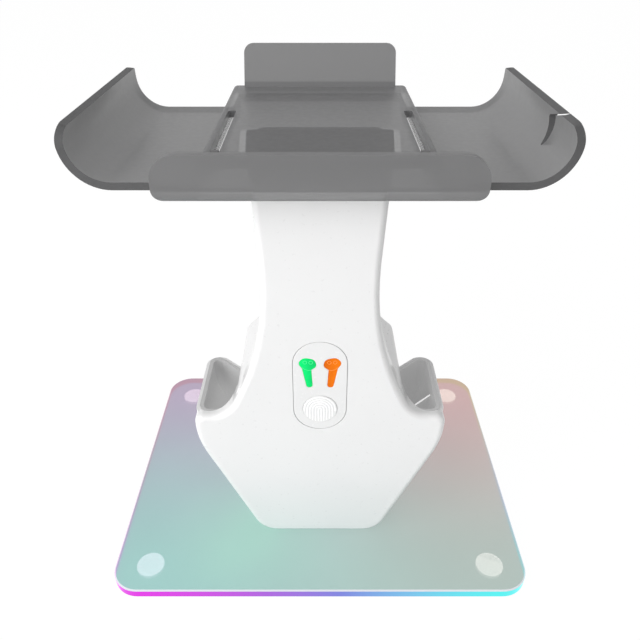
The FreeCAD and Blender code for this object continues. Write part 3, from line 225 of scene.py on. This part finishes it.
# How level a face lies: cut edges stay below the first pair, the bevel lies below the second.
SIDE_LEVEL = (0.2, 0.5)
BEVEL_LEVEL = (0.8, 0.95)
NOISE_DETAIL = 2.0
NOISE_FROM = 0.3
NOISE_TO = 0.7
# Welding distance in metres, and angles in degrees: faces within the first are merged, edges past
# the second stay sharp, edges past the third take a bevel, and a strip goes on within the last.
WELD = 1e-6
FLAT_WITHIN = 0.6
SHARP_PAST = 35.0
BEVEL_PAST = 50.0
STRIP_WITHIN = 30.0


def wandering(paint, scale, low, high):
    """A value that wanders between two others from place to place on a piece."""
    place = paint.node("TexCoord", output="Object")
    noise = paint.node("TexNoise", None, {"Vector": place, "Scale": scale, "Detail": NOISE_DETAIL})
    return paint.node("MapRange", None, {
        "Value": noise, "From Min": NOISE_FROM, "From Max": NOISE_TO,
        "To Min": low, "To Max": high})


def axis_of(paint, axis):
    """A piece's own place along an axis, in metres."""
    place = paint.node("TexCoord", output="Object")
    return paint.node("SeparateXYZ", None, {0: place}, output=axis)


def facing_of(paint, axis):
    """How far a surface faces along an axis, from -1 to 1."""
    normal = paint.node("NewGeometry", output="Normal")
    return paint.node("SeparateXYZ", None, {0: normal}, output=axis)


def new_paint(name):
    """A new material, and its empty tree."""
    made = bpy.data.materials.new(name)
    return made, flow_of(made)


def skinned(paint, sockets):
    """Closes a material's tree with one shader that has the given values or links."""
    skin = paint.node("BsdfPrincipled", None, sockets)
    paint.node("OutputMaterial", None, {"Surface": skin})


def mark_strips(mesh, widest):
    """Gives the faces of narrow strips, such as a sheet's cut edges, a cut_edge value of 1."""
    work = bmesh.new()
    work.from_mesh(mesh)
    marks = [0.0] * len(work.faces)
    fold = math.radians(STRIP_WITHIN)
    found = set()
    for first in work.faces:
        if first in found:
            continue
        found.add(first)
        patch = [first]
        border = 0.0
        for face in patch:
            for edge in face.edges:
                if len(edge.link_faces) == 2 and edge.calc_face_angle(math.pi) < fold:
                    fresh = [other for other in edge.link_faces if other not in found]
                    found.update(fresh)
                    patch.extend(fresh)
                else:
                    border += edge.calc_length()
        if 2 * sum(face.calc_area() for face in patch) < widest * border:
            for face in patch:
                marks[face.index] = 1.0
    work.free()
    mesh.attributes.new("cut_edge", "FLOAT", "FACE").data.foreach_set("value", marks)


def placed(name, mesh, node):
    """Puts a finished mesh in the scene in place of a CAD node, or as an addition to it."""
    shown = bpy.data.objects.new(name, mesh)
    scene.collection.objects.link(shown)
    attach(shown, "root")
    if node:
        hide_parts(node)
    return shown


def dressed(node, material, bevel=0.0, flat=FLAT_WITHIN, widest_strip=0.0):
    """A welded, smoothly shaded copy of a CAD piece that is shown in its place."""
    mesh = nodes[node].data.copy()
    work = bmesh.new()
    work.from_mesh(mesh)
    bmesh.ops.remove_doubles(work, verts=work.verts, dist=WELD)
    bmesh.ops.dissolve_limit(
        work, angle_limit=math.radians(flat), verts=work.verts, edges=work.edges)
    work.to_mesh(mesh)
    work.free()
    if widest_strip:
        mark_strips(mesh, widest_strip)
    mesh.materials.clear()
    mesh.materials.append(material)
    mesh.shade_smooth()
    mesh.set_sharp_from_angle(angle=math.radians(SHARP_PAST))
    shown = placed(node + "_shown", mesh, node)
    if bevel:
        rounding = shown.modifiers.new("edge", "BEVEL")
        rounding.width = bevel
        rounding.segments = 2
        rounding.limit_method = "ANGLE"
        rounding.angle_limit = math.radians(BEVEL_PAST)
    shading = shown.modifiers.new("flat_faces_stay_flat", "WEIGHTED_NORMAL")
    shading.keep_sharp = True


acrylic, paint = new_paint("lit_acrylic")
low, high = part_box("base_plate")
across = axis_of(paint, "X")
along = axis_of(paint, "Y")
back_mask = along.smooth(low.y, high.y)
right_mask = across.smooth(low.x, high.x)
front_colour = right_mask.mixed(PLATE_FRONT_LEFT, PLATE_FRONT_RIGHT)
back_colour = right_mask.mixed(PLATE_BACK_LEFT, PLATE_BACK_RIGHT)
face_colour = back_mask.mixed(front_colour, back_colour)
here = paint.node("TexCoord", output="Object")
from_glint = paint.node("VectorMath", {"operation": "DISTANCE"}, {0: here, 1: GLINT_PLACE},
                        output="Value")
glint = (1 - from_glint.smooth(0.0, GLINT_REACH)) * wandering(paint, *GLINT_STRENGTH)
face_colour = glint.mixed(face_colour, PLATE_GLINT)
turn = paint.maths("ARCTAN2", along, across) / (2 * math.pi) + 0.5
edge_colour = paint.node("ValToRGB", {"stops": EDGE_STOPS}, {0: paint.maths("FRACT", turn)})
level = paint.maths("ABSOLUTE", facing_of(paint, "Z"))
side_mask = 1 - level.smooth(*SIDE_LEVEL)
# The bevel, which takes the painted highlight.
bevel_mask = (1 - side_mask) * (1 - level.smooth(*BEVEL_LEVEL))
face_tint = wandering(paint, *FACE_TINT).mixed(UNLIT, face_colour)
face_glow = wandering(paint, *FACE_GLOW).mixed(UNLIT, face_colour)
skinned(paint, {
    "Base Color": side_mask.mixed(bevel_mask.mixed(face_tint, BEVEL_HIGHLIGHT), CUT_DARK),
    "Emission Color": side_mask.mixed(bevel_mask.mixed(face_glow, BEVEL_HIGHLIGHT), edge_colour),
    "Emission Strength": 1.0,
    "Alpha": paint.maths("MAXIMUM", side_mask, wandering(paint, *FACE_ALPHA)),
    "Roughness": wandering(paint, *PLATE_ROUGH), "Specular IOR Level": PLATE_SHINE})
dressed("base_plate", acrylic)


# The feet: four round pads of pale clear rubber, moulded with a small chamfer and stuck under the
# plate. They show through it as light discs, each tinted a little by the lamps near it.
RUBBER = (0.80, 0.82, 0.84, 1.0)
RUBBER_LIT = (0.88, 0.88, 0.90, 1.0)
RUBBER_CLOUDS = 180.0
RUBBER_ROUGH = (900.0, 0.4, 0.5)
RUBBER_GRAIN = (2500.0, 0.00003)
FOOT_GLOWS = {
    "front_left": (1.00, 0.74, 0.86, 1.0),
    "front_right": (1.00, 0.88, 0.86, 1.0),
    "rear_left": (1.00, 0.88, 0.86, 1.0),
    "rear_right": (0.82, 0.96, 0.84, 1.0),
}
FOOT_GLOW_STRENGTH = 1.1


def clouded(paint, scale, first, second):
    """A colour that wanders between two others from place to place."""
    return wandering(paint, scale, 0.0, 1.0).mixed(first, second)


def grained(paint, scale, depth):
    """The normal of a surface with a fine moulded or ground grain."""
    grain = wandering(paint, scale, 0.0, 1.0)
    return paint.node("Bump", None, {"Height": grain, "Strength": 1.0, "Distance": depth},
                      output="Normal")


def plain_material(name, first, second, clouds, rough, grain, others=None):
    """A material that is clouded between two colours, with its wandering roughness and grain."""
    made, paint = new_paint(name)
    skinned(paint, {
        "Base Color": clouded(paint, clouds, first, second), "Roughness": wandering(paint, *rough),
        "Normal": grained(paint, *grain), **(others or {})})
    return made


for corner, glow in FOOT_GLOWS.items():
    rubber = plain_material(
        corner + "_rubber", RUBBER, RUBBER_LIT, RUBBER_CLOUDS, RUBBER_ROUGH, RUBBER_GRAIN,
        {"Emission Color": glow, "Emission Strength": FOOT_GLOW_STRENGTH})
    dressed(corner + "_foot", rubber)


# The body: two glossy white mouldings, the front one with its flare and pocket mouths, the rear
# one behind it, screwed together from the back. Small edge radii leave a fine line where they meet.
BODY_WHITE = (0.87, 0.87, 0.87, 1.0)
BODY_DEEP = (0.85, 0.85, 0.85, 1.0)
BODY_CLOUDS = 16.0
BODY_ROUGH = (500.0, 0.27, 0.33)
BODY_GRAIN = (1400.0, 0.000004)
BODY_COAT = 0.25
BODY_COAT_ROUGH = 0.1
SHELL_EDGE = 0.0002
white_gloss = plain_material(
    "white_gloss", BODY_WHITE, BODY_DEEP, BODY_CLOUDS, BODY_ROUGH, BODY_GRAIN,
    {"Coat Weight": BODY_COAT, "Coat Roughness": BODY_COAT_ROUGH})
for shell in ("front_shell", "rear_shell"):
    dressed(shell, white_gloss, bevel=SHELL_EDGE)


# The pocket liners: satin light grey cups with thin walls, moulded apart and pressed into the two
# controller pockets. Their lips cover the shell's edge, and a little light comes through them. The
# top of the guide rib in the right one carries a painted highlight, pale and glowing.
LINER_GREY = (0.46, 0.46, 0.46, 1.0)
LINER_DEEP = (0.41, 0.41, 0.41, 1.0)
LINER_CLOUDS = 30.0
LINER_ROUGH = (700.0, 0.42, 0.55)
LINER_GRAIN = (1800.0, 0.00002)
# Painted highlight: the colour of the top of the guide rib.
RIB_HIGHLIGHT_COLOUR = (0.90, 0.90, 0.90, 1.0)
# The light through the right liner is even. Through the left one it fades with the height.
RIGHT_THROUGH = (0.15, 0.15, 0.15, 1.0)
LEFT_LOW_THROUGH = (0.21, 0.21, 0.21, 1.0)
LEFT_HIGH_THROUGH = (0.09, 0.09, 0.09, 1.0)
# Painted highlight: the glow of the top of the guide rib.
RIB_HIGHLIGHT_GLOW = (0.45, 0.45, 0.45, 1.0)
LEFT_FADE = (0.070, 0.096)
MIDDLE = (-0.01, 0.01)
# The rib's top is the part that faces up between these two heights, each with a soft edge.
RIB_FROM = (0.0868, 0.0872)
RIB_TO = (0.0878, 0.0882)
RIB_LEVEL = (0.3, 0.6)

liner_grey, paint = new_paint("liner_grey")
up = axis_of(paint, "Z")
left_through = up.smooth(*LEFT_FADE).mixed(LEFT_LOW_THROUGH, LEFT_HIGH_THROUGH)
through = axis_of(paint, "X").smooth(*MIDDLE).mixed(left_through, RIGHT_THROUGH)
# The top of the rib, which takes the painted highlight.
rib_top = facing_of(paint, "Z").smooth(*RIB_LEVEL) * up.smooth(*RIB_FROM) * (1 - up.smooth(*RIB_TO))
skinned(paint, {
    "Base Color": rib_top.mixed(clouded(paint, LINER_CLOUDS, LINER_GREY, LINER_DEEP), RIB_HIGHLIGHT_COLOUR),
    "Emission Color": rib_top.mixed(through, RIB_HIGHLIGHT_GLOW), "Emission Strength": 1.0,
    "Roughness": wandering(paint, *LINER_ROUGH), "Normal": grained(paint, *LINER_GRAIN)})
for side in ("left", "right"):
    dressed(side + "_pocket_liner", liner_grey, bevel=SHELL_EDGE)


# The touch panel: a white insert in the front face, moulded with a round touch button that has
# fine raised arches on it.
PANEL_WHITE = (0.86, 0.86, 0.86, 1.0)
PANEL_DEEP = (0.845, 0.845, 0.845, 1.0)
PANEL_CLOUDS = 40.0
PANEL_ROUGH = (600.0, 0.22, 0.28)
PANEL_GRAIN = (1600.0, 0.000003)
PANEL_EDGE = 0.00012
ARCH_WHITE = (0.97, 0.97, 0.97, 1.0)
ARCH_ROUGH = (800.0, 0.3, 0.4)
ARCH_GLOW = 0.1
ARCH_PITCH = 0.0014
ARCH_COUNT = 6
ARCH_THICK = 0.00036
ARCH_FLATNESS = 0.45
ARCH_POINTS = 33
ARCH_WIRE_SIDES = 8


def node_tree(name, inputs):
    """A new Geometry Nodes tree with named inputs, and those inputs as values by name."""
    tree = bpy.data.node_groups.new(name, "GeometryNodeTree")
    tree.interface.new_socket("Seed", in_out="INPUT", socket_type="NodeSocketGeometry")
    for label, kind in inputs.items():
        tree.interface.new_socket(label, in_out="INPUT", socket_type="NodeSocket" + kind)
    tree.interface.new_socket("Piece", in_out="OUTPUT", socket_type="NodeSocketGeometry")
    entry = tree.nodes.new("NodeGroupInput")
    return Flow(tree), {socket.name: Flow(tree, socket) for socket in entry.outputs if socket.name}


def wire_along(grow, path, sides, thick):
    """A closed wire with a round section along a path."""
    section = grow.node("GeometryNodeCurvePrimitiveCircle", None, {
        "Resolution": sides, "Radius": thick})
    return grow.node("GeometryNodeCurveToMesh", None, {
        "Curve": path, "Profile Curve": section, "Fill Caps": True})


def tree_end(grow, shape, material):
    """Closes a tree: its instances are made real and take their material."""
    real = grow.node("GeometryNodeRealizeInstances", None, {"Geometry": shape})
    painted = grow.node("GeometryNodeSetMaterial", None, {"Geometry": real, "Material": material})
    grow.node("NodeGroupOutput", None, {"Piece": painted})


def grown(name, tree, seed, values):
    """The plain mesh that a tree makes from a seed mesh with the given input values."""
    holder = bpy.data.objects.new(name + "_seed", seed)
    scene.collection.objects.link(holder)
    modifier = holder.modifiers.new("tree", "NODES")
    modifier.node_group = tree
    for item in tree.interface.items_tree:
        if item.in_out == "INPUT" and item.name in values:
            modifier[item.identifier] = values[item.name]
    bpy.context.view_layer.update()
    result = holder.evaluated_get(bpy.context.evaluated_depsgraph_get())
    mesh = bpy.data.meshes.new_from_object(result)
    holder.modifiers.remove(modifier)
    bpy.data.objects.remove(holder)
    mesh.name = name
    return mesh


panel_white = plain_material(
    "panel_white", PANEL_WHITE, PANEL_DEEP, PANEL_CLOUDS, PANEL_ROUGH, PANEL_GRAIN)
for node in ("front_panel", "touch_disc"):
    dressed(node, panel_white, bevel=PANEL_EDGE)

arch_white, paint = new_paint("arch_white")
skinned(paint, {
    "Base Color": ARCH_WHITE, "Roughness": wandering(paint, *ARCH_ROUGH),
    "Emission Color": ARCH_WHITE, "Emission Strength": ARCH_GLOW})

# Each arch is a half circle on two straight legs that reach down to the button's rim.
grow, given = node_tree("nested_arches", {
    "Count": "Int", "Pitch": "Float", "Reach": "Float", "Thick": "Float"})
row = grow.node("GeometryNodeMeshLine", None, {"Count": given["Count"], "Offset": (0, 0, 0)})
radius = (grow.node("GeometryNodeInputIndex") + 0.5) * given["Pitch"]
leg_square = given["Reach"] * given["Reach"] - radius * radius
leg = grow.maths("SQRT", grow.maths("MAXIMUM", leg_square, 0.0))
bow = grow.node("GeometryNodeCurveArc", None, {
    "Resolution": ARCH_POINTS, "Radius": 1.0, "Start Angle": 0.0, "Sweep Angle": math.pi})
bow_size = grow.node("CombineXYZ", None, {0: radius, 1: radius, 2: 1.0})
pieces = [grow.node("GeometryNodeInstanceOnPoints", None, {
    "Points": row, "Instance": bow, "Scale": bow_size})]
straight = grow.node("GeometryNodeCurvePrimitiveLine", None, {
    "Start": (0, 0, 0), "End": (0, -1, 0)})
leg_size = grow.node("CombineXYZ", None, {0: 1.0, 1: leg, 2: 1.0})
for way in (-1, 1):
    leg_top = grow.node("CombineXYZ", None, {0: radius * way, 1: 0.0, 2: 0.0})
    moved = grow.node("GeometryNodeSetPosition", None, {"Geometry": row, "Position": leg_top})
    pieces.append(grow.node("GeometryNodeInstanceOnPoints", None, {
        "Points": moved, "Instance": straight, "Scale": leg_size}))
drawn = grow.node("GeometryNodeJoinGeometry", None, {"Geometry": pieces})
drawn = grow.node("GeometryNodeRealizeInstances", None, {"Geometry": drawn})
tree_end(grow, wire_along(grow, drawn, ARCH_WIRE_SIDES, given["Thick"]), arch_white)

low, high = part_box("touch_disc")
middle = (low + high) / 2
arches = grown("touch_arches", grow.tree, bpy.data.meshes.new("arch_seed"), {
    "Count": ARCH_COUNT, "Pitch": ARCH_PITCH, "Reach": (high.x - low.x) / 2 - 2 * ARCH_THICK,
    "Thick": ARCH_THICK})
raised = Matrix.Rotation(math.pi / 2, 4, "X") @ Matrix.Diagonal((1, 1, ARCH_FLATNESS, 1))
arches.transform(Matrix.Translation((middle.x, low.y, middle.z)) @ raised)
arches.shade_smooth()
placed("touch_arches", arches, None)


# The indicators: two light pipes shaped like the controllers, one green and one orange, flush with
# the panel. Each has a fine raised line under its head and two small rings on it. LIGHTS gives
# each its main colour, a deeper one and the pale one of its lines.
LIGHTS = {
    "left": ((0.0, 0.76, 0.17, 1.0), (0.0, 0.50, 0.12, 1.0), (0.10, 0.85, 0.35, 1.0)),
    "right": ((0.80, 0.175, 0.0, 1.0), (0.60, 0.11, 0.0, 1.0), (0.92, 0.34, 0.08, 1.0)),
}
LIGHT_GLOW = 0.25
LIGHT_SHADE = (300.0, 0.5, 1.0)
LIGHT_ROUGH = 0.3
LIGHT_SHINE = 0.15
LIGHT_EDGE = 0.0001
LINE_HUE_SHARE = (500.0, 0.0, 0.4)
LINE_ROUGH = 0.35
LINE_THICK = 0.0001
LINE_WIRE_SIDES = 6
RING_RADIUS = 0.0009
RING_POINTS = 24
# Places on the right head, out from its middle and up. The left head has them the other way round.
HEAD_MIDDLE = 0.0033
RING_PLACES = ((0.0013, 0.0009), (-0.0015, 0.0008))
NECK_LINE = ((0.0026, -0.0020), (0.0014, -0.0032), (-0.0002, -0.0038), (-0.0018, -0.0036))


def line_seed(name, head, way):
    """The rings and the line under a head, as loose edges."""
    points, runs = [], []
    for x, z in RING_PLACES:
        start = len(points)
        for step in range(RING_POINTS):
            angle = 2 * math.pi * step / RING_POINTS
            points.append((head.x + way * x + RING_RADIUS * math.cos(angle), head.y,
                           head.z + z + RING_RADIUS * math.sin(angle)))
            runs.append((start + step, start + (step + 1) % RING_POINTS))
    start = len(points)
    for step, (x, z) in enumerate(NECK_LINE):
        points.append((head.x + way * x, head.y, head.z + z))
        if step:
            runs.append((start + step - 1, start + step))
    seed = bpy.data.meshes.new(name)
    seed.from_pydata(points, runs, [])
    return seed


grow, given = node_tree("raised_line", {"Thick": "Float", "Paint": "Material"})
path = grow.node("GeometryNodeMeshToCurve", None, {"Mesh": given["Seed"]})
tree_end(grow, wire_along(grow, path, LINE_WIRE_SIDES, given["Thick"]), given["Paint"])

for side, way in (("left", -1), ("right", 1)):
    hue, deep, pale = LIGHTS[side]
    lit, paint = new_paint(side + "_light")
    low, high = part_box(side + "_indicator")
    to_right = axis_of(paint, "X").smooth(low.x, high.x)
    inward = to_right if side == "left" else 1 - to_right
    colour = (inward * wandering(paint, *LIGHT_SHADE)).mixed(hue, deep)
    skinned(paint, {
        "Base Color": colour, "Roughness": LIGHT_ROUGH, "Specular IOR Level": LIGHT_SHINE,
        "Emission Color": colour, "Emission Strength": LIGHT_GLOW})
    dressed(side + "_indicator", lit, bevel=LIGHT_EDGE)

    pale_line, paint = new_paint(side + "_line")
    skinned(paint, {
        "Base Color": wandering(paint, *LINE_HUE_SHARE).mixed(pale, hue), "Roughness": LINE_ROUGH,
        "Emission Color": pale, "Emission Strength": LIGHT_GLOW})
    head = Vector(((low.x + high.x) / 2, low.y, high.z - HEAD_MIDDLE))
    lines = grown(side + "_indicator_lines", grow.tree, line_seed(side + "_line_seed", head, way), {
        "Thick": LINE_THICK, "Paint": pale_line})
    placed(side + "_indicator_lines", lines, None)


# The screws: zinc plated pan heads with a cross recess. Four hold the shells together from the
# back, four the base from below, and the others are inside.
HEAD_ACROSS = 0.0056
HEAD_TALL = 0.0016
HEAD_SIDES = 28
RIM_SHARE = 0.6
CROWN_SHARE = 0.36
SHANK_ACROSS = 0.003
SHANK_SIDES = 20
DRIVE_LONG = 0.0031
DRIVE_WIDE = 0.0007
DRIVE_DEEP = 0.0009
ZINC = (0.60, 0.60, 0.62, 1.0)
ZINC_DEEP = (0.42, 0.42, 0.44, 1.0)
ZINC_CLOUDS = 900.0
ZINC_ROUGH = (1500.0, 0.25, 0.42)
ZINC_GRAIN = (4000.0, 0.00001)
# The way each group points, and the turn that brings an upright screw there.
SCREW_AXES = {
    "shell_screws": "y", "main_board_screws": "y", "base_screws": "z", "mount_screws": "z"}
SCREW_TURNS = {"y": (-math.pi / 2, 0, 0), "z": (math.pi, 0, 0)}


def shifted(grow, shape, offset):
    """A shape moved by an offset."""
    return grow.node("GeometryNodeTransform", None, {"Geometry": shape, "Translation": offset})


def loose_boxes(mesh):
    """The lowest and highest corners of each separate solid in a mesh."""
    work = bmesh.new()
    work.from_mesh(mesh)
    bmesh.ops.remove_doubles(work, verts=work.verts, dist=WELD)
    found, boxes = set(), []
    for first in work.verts:
        if first in found:
            continue
        found.add(first)
        solid = [first]
        for point in solid:
            near = [edge.other_vert(point) for edge in point.link_edges]
            fresh = [other for other in near if other not in found]
            found.update(fresh)
            solid.extend(fresh)
        places = [point.co for point in solid]
        boxes.append((Vector(map(min, zip(*places))), Vector(map(max, zip(*places)))))
    work.free()
    return boxes


zinc = plain_material(
    "zinc", ZINC, ZINC_DEEP, ZINC_CLOUDS, ZINC_ROUGH, ZINC_GRAIN, {"Metallic": 1.0})
grow, given = node_tree("pan_head_screws", {"Turn": "Vector", "Length": "Float"})
rim_tall = HEAD_TALL * RIM_SHARE
rim = grow.node("GeometryNodeMeshCylinder", None, {
    "Vertices": HEAD_SIDES, "Radius": HEAD_ACROSS / 2, "Depth": rim_tall})
crown = grow.node("GeometryNodeMeshCone", None, {
    "Vertices": HEAD_SIDES, "Radius Top": HEAD_ACROSS * CROWN_SHARE,
    "Radius Bottom": HEAD_ACROSS / 2, "Depth": HEAD_TALL - rim_tall})
parts = [shifted(grow, rim, (0, 0, rim_tall / 2)), shifted(grow, crown, (0, 0, rim_tall))]
head = grow.node("GeometryNodeMeshBoolean", {"operation": "UNION"}, {"Mesh 2": parts})
drives = []
for x, y in ((DRIVE_LONG, DRIVE_WIDE), (DRIVE_WIDE, DRIVE_LONG)):
    bar = grow.node("GeometryNodeMeshCube", None, {"Size": (x, y, 2 * DRIVE_DEEP)})
    drives.append(shifted(grow, bar, (0, 0, HEAD_TALL)))
head = grow.node("GeometryNodeMeshBoolean", {"operation": "DIFFERENCE"}, {
    "Mesh 1": head, "Mesh 2": drives})
shank = grow.node("GeometryNodeMeshCylinder", None, {
    "Vertices": SHANK_SIDES, "Radius": SHANK_ACROSS / 2, "Depth": given["Length"]})
down = grow.node("CombineXYZ", None, {0: 0.0, 1: 0.0, 2: given["Length"] * -0.5})
shank = shifted(grow, shank, down)
whole = grow.node("GeometryNodeJoinGeometry", None, {"Geometry": [head, shank]})
turned = grow.node("FunctionNodeEulerToRotation", None, {"Euler": given["Turn"]})
spread = grow.node("GeometryNodeInstanceOnPoints", None, {
    "Points": given["Seed"], "Instance": whole, "Rotation": turned})
tree_end(grow, spread, zinc)

for node, axis in SCREW_AXES.items():
    places = []
    for low, high in loose_boxes(nodes[node].data):
        under_head = (low + high) / 2
        if axis == "y":
            under_head.y = high.y - HEAD_TALL
            length = high.y - low.y - HEAD_TALL
        else:
            under_head.z = low.z + HEAD_TALL
            length = high.z - low.z - HEAD_TALL
        places.append(under_head)
    seed = bpy.data.meshes.new(node + "_seed")
    seed.from_pydata(places, [], [])
    screws = grown(node + "_shown", grow.tree, seed, {"Turn": SCREW_TURNS[axis], "Length": length})
    screws.shade_smooth()
    screws.set_sharp_from_angle(angle=math.radians(SHARP_PAST))
    placed(node + "_shown", screws, node)


# The cradle: one moulding of smoked clear plastic, with two curled wings, a raised platform, a
# lip turned up in front and a back rest. Its outer cut edges and the walls under the platform look
# darker than its faces, because they are seen through more of the plastic. Its platform top has a
# painted shade for the mount and column under it, and its cut edges that face back are painted
# lighter, a painted light against the shade on their inner side.
SMOKE = (0.206, 0.206, 0.208, 1.0)
SMOKE_DEEP = (0.205, 0.205, 0.208, 1.0)
UPRIGHT_SMOKE = (0.207, 0.207, 0.209, 1.0)
# Painted shade: the platform top is darker, for the mount and column under it.
PLATFORM_SHADE = (0.138, 0.138, 0.141, 1.0)
WALL_SMOKE = (0.105, 0.105, 0.108, 1.0)
RISE_SMOKE = (0.176, 0.176, 0.178, 1.0)
# Painted light: cut edges that face back are lighter, against the shade on their inner side.
REAR_CUT_LIGHT = (0.330, 0.330, 0.333, 1.0)
CUT_SMOKE = (0.075, 0.075, 0.077, 1.0)
LIT_THROUGH = (0.07, 0.07, 0.07, 1.0)
SMOKE_CLOUDS = 24.0
SMOKE_ALPHA = 0.72
PLATFORM_ALPHA = 0.82
WALL_ALPHA = 0.25
LIP_ALPHA = 0.80
LIP_FOOT_ALPHA = 0.97
RISE_ALPHA = 0.90
CUT_ALPHA = 0.88
CRADLE_ROUGH = (400.0, 0.38, 0.44)
CUT_ROUGHER = 0.15
CRADLE_SHINE = 0.3
# Where the regions of the sheet begin and end, in metres from the middle and from the table.
SOFT_EDGE = 0.0003
WALL_FROM = 0.0428
WALL_TO = 0.0460
PLATFORM_LEVEL = (0.226, 0.229)
WING_RISE = (0.224, 0.236)
LIP_LINE = 0.0655
LIP_HALF = 0.0625
LIP_FOOT = (0.2215, 0.2235)
COLUMN_HALF = 0.0245
REST_LINE = 0.0560
FACES_BACK = (0.2, 0.5)
LIP_EDGE_SHARE = 0.3
CRADLE_EDGE = 0.0003
CRADLE_FLAT = 0.05
SHEET_THICK = 0.0032
WIDEST_STRIP = 1.15 * SHEET_THICK


def past(value, bound):
    """0 below a bound and 1 above it, with a soft edge."""
    return value.smooth(bound - SOFT_EDGE, bound + SOFT_EDGE)


# Masks of the regions come first, then the colour and the clearness of each.
smoked, paint = new_paint("smoked_clear")
beside = paint.maths("ABSOLUTE", axis_of(paint, "X"))
along = axis_of(paint, "Y")
up = axis_of(paint, "Z")
on_top = up.smooth(*PLATFORM_LEVEL)
lip = past(0 - along, LIP_LINE) * (1 - past(beside, LIP_HALF))
lip_foot = lip * (1 - up.smooth(*LIP_FOOT)) * past(beside, COLUMN_HALF)
rest = past(along, REST_LINE) * on_top
wing = past(beside, WALL_TO) * (1 - lip)
rise = wing * up.smooth(*WING_RISE)
platform = (1 - past(beside, WALL_TO)) * (1 - lip) * (1 - rest)
platform_top = platform * on_top
over_wall = past(beside, WALL_FROM) * platform_top
behind = facing_of(paint, "Y").smooth(*FACES_BACK)
edge = paint.node("Attribute", {"attribute_name": "cut_edge"}, output="Fac")
edge = edge * (wing + lip * LIP_EDGE_SHARE)
cut = edge * (1 - behind)
colour = clouded(paint, SMOKE_CLOUDS, SMOKE, SMOKE_DEEP)
# The platform top takes its painted shade.
colour = platform_top.mixed(colour, PLATFORM_SHADE)
colour = paint.maths("MAXIMUM", lip, rest).mixed(colour, UPRIGHT_SMOKE)
colour = rise.mixed(colour, RISE_SMOKE)
# Cut edges that face back take their painted light.
colour = (edge * behind).mixed(colour, REAR_CUT_LIGHT)
colour = over_wall.mixed(colour, WALL_SMOKE)
colour = cut.mixed(colour, CUT_SMOKE)
alpha = platform_top * (PLATFORM_ALPHA - SMOKE_ALPHA) + SMOKE_ALPHA
alpha = alpha - platform * (1 - on_top) * (SMOKE_ALPHA - WALL_ALPHA)
alpha = alpha + lip * (LIP_ALPHA - SMOKE_ALPHA) + lip_foot * (LIP_FOOT_ALPHA - LIP_ALPHA)
alpha = alpha + rise * (RISE_ALPHA - SMOKE_ALPHA) + cut * (1 - rise) * (CUT_ALPHA - SMOKE_ALPHA)
skinned(paint, {
    "Base Color": colour, "Alpha": alpha,
    "Roughness": wandering(paint, *CRADLE_ROUGH) + cut * CUT_ROUGHER,
    "Specular IOR Level": CRADLE_SHINE,
    "Emission Color": (rise * (1 - edge)).mixed(UNLIT, LIT_THROUGH), "Emission Strength": 1.0})
dressed("headset_cradle", smoked, bevel=CRADLE_EDGE, flat=CRADLE_FLAT, widest_strip=WIDEST_STRIP)


# Pieces that are seen only from behind, from below or through the openings: sockets, contacts,
# boards and the mount under the cradle. Each keeps its CAD shape and has its own finish, given by
# its two colours, its least and greatest roughness, whether it is metal (1) or not (0), and the
# scale of its clouds and grain.
INNER = {
    "black_plastic": ((0.028, 0.028, 0.03, 1.0), (0.05, 0.05, 0.052, 1.0), 0.34, 0.46, 0.0, 1500.0),
    "circuit_board": ((0.03, 0.14, 0.07, 1.0), (0.02, 0.10, 0.055, 1.0), 0.35, 0.5, 0.0, 420.0),
    "light_chip": ((0.9, 0.9, 0.82, 1.0), (0.85, 0.8, 0.5, 1.0), 0.35, 0.45, 0.0, 900.0),
    "white_inner": ((0.75, 0.75, 0.75, 1.0), (0.7, 0.7, 0.71, 1.0), 0.45, 0.55, 0.0, 900.0),
    "socket_metal": ((0.65, 0.65, 0.66, 1.0), (0.5, 0.5, 0.52, 1.0), 0.2, 0.32, 1.0, 1800.0),
    "gold_contact": ((0.85, 0.6, 0.25, 1.0), (0.75, 0.5, 0.2, 1.0), 0.2, 0.3, 1.0, 2500.0),
}
INNER_GRAIN_DEPTH = 0.00001
for slot, (first, second, smoothest, roughest, metallic, scale) in INNER.items():
    made = plain_material(
        slot, first, second, scale, (scale, smoothest, roughest), (scale, INNER_GRAIN_DEPTH),
        {"Metallic": metallic})
    for node, its_slot in slot_of.items():
        if its_slot == slot:
            nodes[node].data.materials.clear()
            nodes[node].data.materials.append(made)
